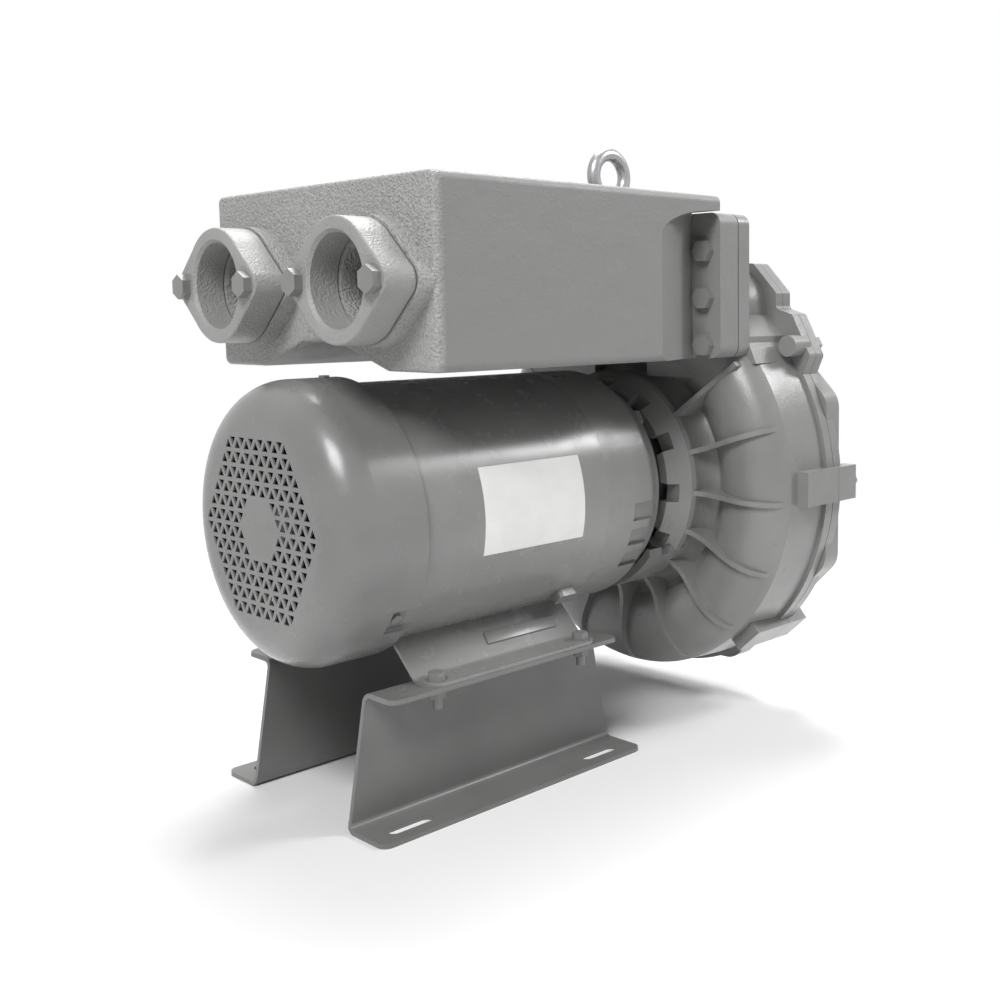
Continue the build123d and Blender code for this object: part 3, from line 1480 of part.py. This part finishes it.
with BuildPart() as port_flange_bolts:
    for side in (-1, 1):
        for step in (-1, 1):
            seat = Plane(
                origin=(port_front, side * port_y + step * port_bolt_y, port_z),
                x_dir=(0, 0, 1),
                z_dir=(-1, 0, 0),
            )
            grip = port_flange + port_gasket + port_bolt_depth - 1
            hex_bolt(seat, port_bolt_radius, grip, flange_hex, flange_bolt_head)
save(port_flange_bolts, "port_flange_bolts")

# Lifting eye screwed into the top of the box's flange
eye_centre_z = eye_height - eye_ring_radius - eye_rod_radius
with BuildPart() as eye_bolt:
    with BuildSketch(Plane(origin=(eye_x + eye_ring_radius, 0, eye_centre_z), x_dir=(1, 0, 0), z_dir=(0, 0, 1))) as rod:
        Circle(eye_rod_radius)
    revolve(rod.sketch, axis=Axis((eye_x, 0, eye_centre_z), (0, 1, 0)))
    with BuildSketch(Plane.XY.offset(box_flange_top)) as collar:
        with Locations((eye_x, 0)):
            Circle(eye_collar_radius)
    extrude(collar.sketch, amount=eye_collar_height)
    with BuildSketch(Plane.XY.offset(box_flange_top - eye_shank_length)) as shank:
        with Locations((eye_x, 0)):
            Circle(eye_shank_radius)
    extrude(shank.sketch, amount=eye_shank_length)
    neck_top_z = eye_centre_z - eye_ring_radius + eye_rod_radius / 2
    with BuildSketch(Plane.XY.offset(box_flange_top + eye_collar_height)) as stem:
        with Locations((eye_x, 0)):
            Circle(eye_shank_radius + 1.5)
    extrude(stem.sketch, amount=neck_top_z - box_flange_top - eye_collar_height, taper=8)
save(eye_bolt, "eye_bolt")
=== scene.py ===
"""Looks of the side channel blower: grey paint over castings and sheet, in plain studio light.

Metres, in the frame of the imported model: +Z up, +X along the shaft from the fan to the blower.
"""
import json
from math import asin, cos, degrees, radians, sin

import bpy
from mathutils import Matrix, Vector


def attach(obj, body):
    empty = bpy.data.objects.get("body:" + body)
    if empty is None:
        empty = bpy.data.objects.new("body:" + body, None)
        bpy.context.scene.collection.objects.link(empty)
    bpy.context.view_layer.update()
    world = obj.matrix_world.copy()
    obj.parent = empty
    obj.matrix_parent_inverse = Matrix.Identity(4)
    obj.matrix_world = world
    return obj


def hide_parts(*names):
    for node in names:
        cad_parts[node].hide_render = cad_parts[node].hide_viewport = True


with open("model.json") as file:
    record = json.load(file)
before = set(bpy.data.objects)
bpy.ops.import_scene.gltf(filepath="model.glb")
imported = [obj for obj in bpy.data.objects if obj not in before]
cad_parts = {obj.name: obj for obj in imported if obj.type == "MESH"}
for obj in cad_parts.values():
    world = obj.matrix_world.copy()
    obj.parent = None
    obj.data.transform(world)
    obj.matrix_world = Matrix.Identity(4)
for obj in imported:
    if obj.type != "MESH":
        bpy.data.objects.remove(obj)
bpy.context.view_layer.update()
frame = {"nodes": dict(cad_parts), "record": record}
nodes = frame["nodes"]

# Main sizes in millimetres, as in the model's source; outlines are drawn about the shaft line
MM = 0.001
SHAFT_HEIGHT = 244
SHELL_RADIUS = 114
PORT_Y = 90.5
PORT_HEIGHT = 441.5
PORT_BACK = -125.5
PORT_THICKNESS = 27.0
PORT_FACE = PORT_BACK - PORT_THICKNESS
PORT_RADIUS = 49.0
PORT_TIP_RADIUS = 14.0
PORT_BOLT_REACH = 52.0
PORT_BOLT_WAY = 6.3
PORT_BORE = 36.5
BOX_FRONT = -109.5
FOOT_CORNER = (86.0, 114.5)
FOOT_CREST = (56.0, 143.0)


# Materials
def new_material(name, colour, roughness, metallic=0.0):
    """A material with its shader, ready for a pattern."""
    material = bpy.data.materials.new(name)
    material.use_nodes = True
    shader = material.node_tree.nodes["Principled BSDF"]
    shader.inputs["Base Color"].default_value = (*colour, 1.0)
    shader.inputs["Roughness"].default_value = roughness
    shader.inputs["Metallic"].default_value = metallic
    return material, shader


def noise(material, scale, detail=3.0, stretch=(1.0, 1.0, 1.0)):
    """Noise on the piece's own coordinates; returns its value's socket."""
    tree = material.node_tree
    place = tree.nodes.new("ShaderNodeTexCoord")
    mapping = tree.nodes.new("ShaderNodeMapping")
    mapping.inputs["Scale"].default_value = stretch
    texture = tree.nodes.new("ShaderNodeTexNoise")
    texture.inputs["Scale"].default_value = scale
    texture.inputs["Detail"].default_value = detail
    tree.links.new(place.outputs["Object"], mapping.inputs["Vector"])
    tree.links.new(mapping.outputs["Vector"], texture.inputs["Vector"])
    return texture.outputs["Fac"]


def tint(material, shader, value, dark, light, low=0.35, high=0.65):
    """Lets a pattern drive the colour between two shades."""
    tree = material.node_tree
    ramp = tree.nodes.new("ShaderNodeValToRGB")
    ramp.color_ramp.elements[0].position = low
    ramp.color_ramp.elements[0].color = (*dark, 1.0)
    ramp.color_ramp.elements[1].position = high
    ramp.color_ramp.elements[1].color = (*light, 1.0)
    tree.links.new(value, ramp.inputs["Fac"])
    tree.links.new(ramp.outputs["Color"], shader.inputs["Base Color"])


def gloss(material, shader, value, low, high):
    """Lets a pattern drive the roughness between two values."""
    tree = material.node_tree
    span = tree.nodes.new("ShaderNodeMapRange")
    span.inputs["To Min"].default_value = low
    span.inputs["To Max"].default_value = high
    tree.links.new(value, span.inputs["Value"])
    tree.links.new(span.outputs["Result"], shader.inputs["Roughness"])


def relief(material, shader, layers):
    """Bump from several patterns, each (value, height in metres)."""
    tree = material.node_tree
    normal = None
    for value, height in layers:
        bump = tree.nodes.new("ShaderNodeBump")
        bump.inputs["Strength"].default_value = 1.0
        bump.inputs["Distance"].default_value = height
        tree.links.new(value, bump.inputs["Height"])
        if normal is not None:
            tree.links.new(normal, bump.inputs["Normal"])
        normal = bump.outputs["Normal"]
    tree.links.new(normal, shader.inputs["Normal"])


def paint(name, shade, roughness, grain, wave=0.0, grain_scale=900.0):
    """Grey paint: faint unevenness of shade, and a grain that shows what lies under it."""
    colour = (shade, shade, shade * 0.985)
    material, shader = new_material(name, colour, roughness)
    dark = tuple(0.93 * c for c in colour)
    light = tuple(1.06 * c for c in colour)
    tint(material, shader, noise(material, 14.0, 4.0), dark, light)
    gloss(material, shader, noise(material, 60.0, 3.0), roughness - 0.05, roughness + 0.07)
    layers = [(noise(material, grain_scale, 2.0), grain)]
    if wave:
        layers.append((noise(material, 45.0, 2.0), wave))
    relief(material, shader, layers)
    shader.inputs["Coat Weight"].default_value = 0.15
    shader.inputs["Coat Roughness"].default_value = 0.35
    return material


def front_only(material, value, start, end, rest=0.12):
    """Keeps a pattern in front of a place along the shaft, in metres, and fades it out behind."""
    tree = material.node_tree
    place = tree.nodes.new("ShaderNodeTexCoord")
    split = tree.nodes.new("ShaderNodeSeparateXYZ")
    fade = tree.nodes.new("ShaderNodeMapRange")
    fade.inputs["From Min"].default_value = end
    fade.inputs["From Max"].default_value = start
    fade.inputs["To Min"].default_value = rest
    product = tree.nodes.new("ShaderNodeMath")
    product.operation = "MULTIPLY"
    tree.links.new(place.outputs["Object"], split.inputs["Vector"])
    tree.links.new(split.outputs["X"], fade.inputs["Value"])
    tree.links.new(fade.outputs["Result"], product.inputs[0])
    tree.links.new(value, product.inputs[1])
    return product.outputs["Value"]


def sand_cast_paint_with_painted_front_light():
    """Paint over the box's casting: sand marks on its front, calmer on its sides, and a front painted
    lighter than the sides as painted light from the lamp on the left.
    """
    material, shader = new_material("paint_on_sand_casting_with_painted_front_light", (0.33, 0.33, 0.325), 0.5)
    sand = noise(material, 480.0, 3.0)
    front, behind = (BOX_FRONT + 1) * MM, (BOX_FRONT + 9) * MM
    sand_and_painted_front_light = front_only(material, sand, front, behind)
    # Painted light: behind the front the pattern fades almost out, so the sides take the dark shade and the
    # lit front the lighter one, over real sand marks.
    tint(material, shader, sand_and_painted_front_light, (0.24, 0.24, 0.237), (0.46, 0.46, 0.452), 0.1, 0.6)
    gloss(material, shader, noise(material, 60.0), 0.40, 0.56)
    grain = front_only(material, sand, front, behind)
    relief(material, shader, [(grain, 0.0028), (noise(material, 30.0), 0.0015)])
    return material


smooth_paint = paint("paint_on_sheet", 0.245, 0.25, grain=0.00003, wave=0.00015)
# A darker copy of the sheet paint: painted shade for the fan cover's front, which gets less light.
fan_cover_paint_with_painted_shade = paint("paint_on_fan_cover_with_painted_shade", 0.20, 0.25, grain=0.00003, wave=0.00012)
# A darker copy of the sheet paint: painted shade for the brackets, whose webs face away from the lamps.
bracket_paint_with_painted_shade = paint("paint_on_brackets_with_painted_shade", 0.165, 0.34, grain=0.00004, wave=0.0002)
cast_paint = paint("paint_on_casting", 0.235, 0.29, grain=0.0002, wave=0.0005, grain_scale=520.0)
# A lighter copy of the casting paint over a real coarse grain: painted light for the port flanges' faces
# turned to the key lamp.
flange_paint_with_painted_light = paint("paint_on_flanges_with_painted_light", 0.32, 0.42, grain=0.0012, wave=0.0006, grain_scale=480.0)
bolt_paint = paint("paint_on_bolts", 0.22, 0.36, grain=0.0002)
box_paint_with_painted_front_light = sand_cast_paint_with_painted_front_light()

gasket_fibre, gasket_shader = new_material("gasket_fibre", (0.12, 0.12, 0.122), 0.8)
relief(gasket_fibre, gasket_shader, [(noise(gasket_fibre, 1200.0), 0.0002)])
bright_zinc, zinc_shader = new_material("bright_zinc", (0.36, 0.36, 0.37), 0.28, 1.0)
gloss(bright_zinc, zinc_shader, noise(bright_zinc, 220.0, 4.0), 0.2, 0.42)
relief(bright_zinc, zinc_shader, [(noise(bright_zinc, 300.0), 0.0002)])
steel, steel_shader = new_material("turned_steel", (0.5, 0.5, 0.51), 0.35, 1.0)
gloss(steel, steel_shader, noise(steel, 90.0, 4.0, (8.0, 1.0, 1.0)), 0.25, 0.45)
copper, copper_shader = new_material("varnished_copper", (0.35, 0.13, 0.05), 0.4, 0.6)
relief(copper, copper_shader, [(noise(copper, 500.0, 2.0, (0.2, 1.0, 1.0)), 0.001)])
black_plastic, plastic_shader = new_material("black_plastic", (0.02, 0.02, 0.02), 0.45)
relief(black_plastic, plastic_shader, [(noise(black_plastic, 800.0), 0.0001)])
bare_cast, bare_shader = new_material("bare_cast_aluminium", (0.55, 0.55, 0.56), 0.45, 0.9)
gloss(bare_cast, bare_shader, noise(bare_cast, 80.0), 0.38, 0.55)
relief(bare_cast, bare_shader, [(noise(bare_cast, 500.0), 0.0005)])
grey_foam, foam_shader = new_material("grey_foam", (0.26, 0.26, 0.262), 0.9)
relief(grey_foam, foam_shader, [(noise(grey_foam, 600.0), 0.0006)])

finishes = {
    "painted_casting": cast_paint,
    "painted_sheet": smooth_paint,
    "painted_fastener": bolt_paint,
    "gasket": gasket_fibre,
    "steel": steel,
    "bearing_steel": steel,
    "lamination": steel,
    "winding": copper,
    "bare_aluminium": bare_cast,
    "fan_plastic": black_plastic,
    "foam": grey_foam,
    "zinc_plate": bright_zinc,
}
slot_of = {row["node"]: row["material_slot"] for row in frame["record"]["subparts"]}
for name, node in nodes.items():
    node.data.materials.clear()
    node.data.materials.append(finishes[slot_of[name]])
# The box, port flanges, fan cover and brackets get lighter or darker copies of the grey paint, which carry
# painted light and painted shade.
for names, material in (
    (("manifold_box",), box_paint_with_painted_front_light),
    (("port_flange_near", "port_flange_far"), flange_paint_with_painted_light),
    (("fan_cover",), fan_cover_paint_with_painted_shade),
    (("base_bracket_near", "base_bracket_far"), bracket_paint_with_painted_shade),
):
    for name in names:
        nodes[name].data.materials[0] = material


# Modelling helpers
def deselect():
    """Nothing selected, so that the next operator acts only on its own piece."""
    if bpy.context.object and bpy.context.object.mode != "OBJECT":
        bpy.ops.object.mode_set(mode="OBJECT")
    bpy.ops.object.select_all(action="DESELECT")


def pick(piece):
    """Makes one piece the active and only selected one."""
    deselect()
    piece.select_set(True)
    bpy.context.view_layer.objects.active = piece


def draw(name, points):
    """Starts a piece as one point on the shaft line and extrudes it round a closed outline."""
    deselect()
    bpy.ops.mesh.primitive_plane_add(size=0.01, location=(0, 0, SHAFT_HEIGHT * MM))
    piece = bpy.context.object
    piece.name = piece.data.name = name
    bpy.ops.object.mode_set(mode="EDIT")
    bpy.ops.mesh.select_all(action="SELECT")
    bpy.ops.mesh.merge(type="CENTER")
    here = Vector((0, 0, 0))
    for index, point in enumerate(points):
        step = Vector(point) * MM - here
        if index == 0:
            bpy.ops.transform.translate(value=step)
        else:
            bpy.ops.mesh.extrude_region_move(TRANSFORM_OT_translate={"value": step})
        here += step
    bpy.ops.mesh.select_all(action="SELECT")
    bpy.ops.mesh.edge_face_add()
    return piece


def settle(piece):
    """Puts a piece's place into its mesh."""
    pick(piece)
    bpy.ops.object.transform_apply(location=True, rotation=True, scale=True)
    return piece


def slab(name, outline, push):
    """A closed outline pushed out by a vector."""
    piece = draw(name, outline)
    bpy.ops.mesh.extrude_region_move(TRANSFORM_OT_translate={"value": Vector(push) * MM})
    bpy.ops.mesh.select_all(action="SELECT")
    bpy.ops.mesh.normals_make_consistent(inside=False)
    bpy.ops.object.mode_set(mode="OBJECT")
    return settle(piece)


def bend(centre, radius, start, end, steps):
    """Points of an arc in a flat outline, angles in degrees."""
    return [
        (
            centre[0] + radius * cos(radians(start + (end - start) * i / steps)),
            centre[1] + radius * sin(radians(start + (end - start) * i / steps)),
        )
        for i in range(steps + 1)
    ]


def apply(piece, kind, **settings):
    """Adds a modifier and applies it at once."""
    pick(piece)
    modifier = piece.modifiers.new(kind.lower(), kind)
    for key, value in settings.items():
        setattr(modifier, key, value)
    bpy.ops.object.modifier_apply(modifier=modifier.name)
    return piece


def cut(piece, tool):
    """Takes a tool away from a piece."""
    apply(piece, "BOOLEAN", operation="DIFFERENCE", object=tool, solver="EXACT")
    bpy.data.objects.remove(tool)


def join(piece, *others):
    """Makes several closed forms one piece."""
    pick(piece)
    for other in others:
        other.select_set(True)
    bpy.ops.object.join()
    return piece


def rounded(piece, width, segments, angle):
    """Rounds the edges of a piece that are sharper than an angle."""
    return apply(
        piece,
        "BEVEL",
        width=width * MM,
        segments=segments,
        limit_method="ANGLE",
        angle_limit=radians(angle),
        harden_normals=False,
        use_clamp_overlap=True,
    )


def finish(piece, material, stands_for=(), smooth=30.0):
    """Shades a piece, paints it and sets it on the fixed body."""
    pick(piece)
    bpy.ops.object.shade_smooth_by_angle(angle=radians(smooth))
    piece.data.materials.clear()
    piece.data.materials.append(material)
    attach(piece, "stator")
    if stands_for:
        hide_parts(*stands_for)


# Port flanges
def across(points, x):
    """Points of (y, height over the floor) at one place along the shaft, for a slab."""
    return [(x, y, z - SHAFT_HEIGHT) for y, z in points]


def ring_of(radius, centre, count):
    """Points round a circle."""
    return bend(centre, radius, 0, 360 - 360 / count, count - 1)


def lozenge(centre):
    """Outline of a two-bolt flange: a circle drawn out to a rounded tip at each side."""
    lean = degrees(asin((PORT_RADIUS - PORT_TIP_RADIUS) / PORT_BOLT_REACH))
    near = (centre[0] - PORT_BOLT_REACH, centre[1])
    far = (centre[0] + PORT_BOLT_REACH, centre[1])
    top = bend(centre, PORT_RADIUS, lean, 180 - lean, 40)
    near_tip = bend(near, PORT_TIP_RADIUS, 180 - lean, 180 + lean, 12)
    bottom = bend(centre, PORT_RADIUS, 180 + lean, 360 - lean, 40)
    far_tip = bend(far, PORT_TIP_RADIUS, -lean, lean, 12)
    return top + near_tip + bottom + far_tip


def bevel_rim(piece, centre, closest, farthest, width, segments):
    """Bevels the edges of a port's face that lie within a band round the port's centre."""
    pick(piece)
    bpy.ops.object.mode_set(mode="EDIT")
    bpy.ops.mesh.select_mode(type="EDGE")
    bpy.ops.mesh.select_all(action="DESELECT")
    bpy.ops.object.mode_set(mode="OBJECT")
    points = piece.data.vertices
    middle = Vector((centre[0] * MM, centre[1] * MM))
    for edge in piece.data.edges:
        ends = [points[i].co for i in edge.vertices]
        away = [(Vector((p.y, p.z)) - middle).length / MM for p in ends]
        flat = all(abs(p.x / MM - PORT_FACE) < 0.05 for p in ends)
        edge.select = flat and all(closest < a < farthest for a in away)
    bpy.ops.object.mode_set(mode="EDIT")
    bpy.ops.mesh.bevel(offset=width * MM, segments=segments)
    bpy.ops.mesh.select_mode(type="VERT")
    bpy.ops.object.mode_set(mode="OBJECT")


def hole_tool(centre, radius, count):
    """A round bar through a port flange, longer than the flange at both ends."""
    start, length = -120, 40
    outline = across(ring_of(radius, centre, count), start)
    return slab("hole_tool", outline, (-length, 0, 0))


def port_flange(name, side):
    """Two-bolt port flange with a chamfered bore, rounded rim and ways for its bolts."""
    centre = (side * PORT_Y, PORT_HEIGHT)
    plate = slab(name, across(lozenge(centre), PORT_BACK), (-PORT_THICKNESS, 0, 0))
    cut(plate, hole_tool(centre, PORT_BORE, 96))
    for step in (-PORT_BOLT_REACH, PORT_BOLT_REACH):
        cut(plate, hole_tool((centre[0] + step, centre[1]), PORT_BOLT_WAY, 32))
    tip = PORT_BOLT_REACH + PORT_TIP_RADIUS
    bevel_rim(plate, centre, PORT_BORE - 0.5, PORT_BORE + 0.5, width=2.6, segments=1)
    bevel_rim(plate, centre, PORT_RADIUS - 2, tip + 2, width=2.0, segments=3)
    return plate


for side, end in ((-1, "near"), (1, "far")):
    flange = port_flange(f"port_flange_{end}_form", side)
    finish(flange, flange_paint_with_painted_light, [f"port_flange_{end}"])


# Beads of the foot
def foot_bead(side):
    """Pressed bead along a leg of the foot, raised above the sheet by about a millimetre and a half."""
    low = Vector((0, side * FOOT_CORNER[0], FOOT_CORNER[1] - SHAFT_HEIGHT))
    high = Vector((0, side * FOOT_CREST[0], FOOT_CREST[1] - SHAFT_HEIGHT))
    rise = high - low
    out = Vector((0, side * rise.z, abs(rise.y))).normalized()
    start, end, lean = -1, 81, 2
    bottom, top = 0.36, 0.66
    corners = [(start, bottom), (end, bottom), (end + lean, top), (start + lean, top)]
    outline = [Vector((x, 0, 0)) + low.lerp(high, share) + out * 0.8 for x, share in corners]
    return rounded(slab("foot_bead", outline, out * 2.2), 0.9, 3, 40)


finish(join(foot_bead(-1), foot_bead(1)), smooth_paint)


# Label
def blank_label():
    """Bare white sticker round the near side of the motor's shell."""
    start, end, lowest, span = -31, 84, -15, 38
    inner, outer = SHELL_RADIUS + 0.05, SHELL_RADIUS + 0.35
    sheet = [(start, 0, inner), (end, 0, inner), (end, 0, outer), (start, 0, outer)]
    piece = draw("blank_label", sheet)
    middle = (0, 0, SHAFT_HEIGHT * MM)
    bpy.ops.mesh.spin(steps=28, angle=radians(span), center=middle, axis=(1, 0, 0))
    bpy.ops.mesh.select_all(action="SELECT")
    bpy.ops.mesh.remove_doubles(threshold=0.00001)
    bpy.ops.mesh.normals_make_consistent(inside=False)
    bpy.ops.object.mode_set(mode="OBJECT")
    piece.rotation_euler.x = radians(90 - lowest)
    return settle(piece)


label_white, label_shader = new_material("label_white", (0.8, 0.8, 0.79), 0.4)
tint(label_white, label_shader, noise(label_white, 40.0), (0.78, 0.78, 0.77), (0.84, 0.84, 0.83))
finish(blank_label(), label_white, smooth=40.0)


# Studio
def softbox(name, place, aim, size, power):
    """A square lamp at a place, turned to a point."""
    bpy.ops.object.light_add(type="AREA", location=place)
    lamp = bpy.context.object
    lamp.name = name
    lamp.data.shape = "SQUARE"
    lamp.data.size = size
    lamp.data.energy = power
    lamp.rotation_euler = (Vector(aim) - Vector(place)).to_track_quat("-Z", "Y").to_euler()


def fading_white():
    """White floor that grows clear away from the middle, so that no edge shows before the background."""
    material, shader = new_material("studio_white", (0.9, 0.9, 0.9), 0.9)
    tree = material.node_tree
    place = tree.nodes.new("ShaderNodeTexCoord")
    spread = tree.nodes.new("ShaderNodeMapping")
    spread.inputs["Scale"].default_value = (0.55, 0.55, 0.55)
    fade = tree.nodes.new("ShaderNodeTexGradient")
    fade.gradient_type = "SPHERICAL"
    edge = tree.nodes.new("ShaderNodeMapRange")
    edge.interpolation_type = "SMOOTHERSTEP"
    edge.inputs["From Min"].default_value = 0.15
    edge.inputs["From Max"].default_value = 0.72
    clear = tree.nodes.new("ShaderNodeBsdfTransparent")
    mix = tree.nodes.new("ShaderNodeMixShader")
    tree.links.new(place.outputs["Object"], spread.inputs["Vector"])
    tree.links.new(spread.outputs["Vector"], fade.inputs["Vector"])
    tree.links.new(fade.outputs["Fac"], edge.inputs["Value"])
    tree.links.new(edge.outputs["Result"], mix.inputs["Fac"])
    tree.links.new(clear.outputs["BSDF"], mix.inputs[1])
    tree.links.new(shader.outputs["BSDF"], mix.inputs[2])
    tree.links.new(mix.outputs["Shader"], tree.nodes["Material Output"].inputs["Surface"])
    return material


def white_surroundings(dim):
    """White for the camera, in reflections and through clear things, and dimmer as a light."""
    world = bpy.data.worlds.new("studio")
    bpy.context.scene.world = world
    world.use_nodes = True
    tree = world.node_tree
    background = tree.nodes["Background"]
    background.inputs["Color"].default_value = (1.0, 1.0, 1.0, 1.0)
    path = tree.nodes.new("ShaderNodeLightPath")
    mirrored = tree.nodes.new("ShaderNodeMath")
    mirrored.operation = "MAXIMUM"
    seen = tree.nodes.new("ShaderNodeMath")
    seen.operation = "MAXIMUM"
    strength = tree.nodes.new("ShaderNodeMapRange")
    strength.inputs["To Min"].default_value = dim
    strength.inputs["To Max"].default_value = 1.0
    tree.links.new(path.outputs["Is Camera Ray"], mirrored.inputs[0])
    tree.links.new(path.outputs["Is Glossy Ray"], mirrored.inputs[1])
    tree.links.new(mirrored.outputs["Value"], seen.inputs[0])
    tree.links.new(path.outputs["Is Transmission Ray"], seen.inputs[1])
    tree.links.new(seen.outputs["Value"], strength.inputs["Value"])
    tree.links.new(strength.outputs["Result"], background.inputs["Strength"])


softbox("key", (-1.5, -0.9, 2.0), (0.05, 0.0, 0.3), 0.9, 46.0)
softbox("top", (0.75, 0.6, 2.3), (0.1, 0.0, 0.3), 1.2, 60.0)
softbox("side", (1.45, -1.05, 1.5), (0.1, 0.0, 0.3), 0.5, 17.0)

bpy.ops.mesh.primitive_plane_add(size=6.0)
floor = bpy.context.object
floor.name = "studio_floor"
floor.data.materials.append(fading_white())
white_surroundings(dim=0.21)

# Camera, fitted to the photograph
bpy.ops.object.camera_add(location=(-0.6689, -0.8914, 0.4169))
camera = bpy.context.object
yaw, pitch, roll = radians(42.59), radians(6.40), radians(0.53)
ahead = Vector((cos(yaw) * cos(pitch), sin(yaw) * cos(pitch), -sin(pitch)))
camera.rotation_mode = "QUATERNION"
camera.rotation_quaternion = Matrix.Rotation(roll, 3, ahead).to_quaternion() @ ahead.to_track_quat("-Z", "Y")
camera.data.sensor_width = 36.0
camera.data.lens = 43.715
camera.data.shift_x = -0.1542
camera.data.shift_y = -0.0531
camera.data.clip_start, camera.data.clip_end = 0.05, 50.0
bpy.context.scene.camera = camera
bpy.context.scene.view_settings.view_transform = "Standard"
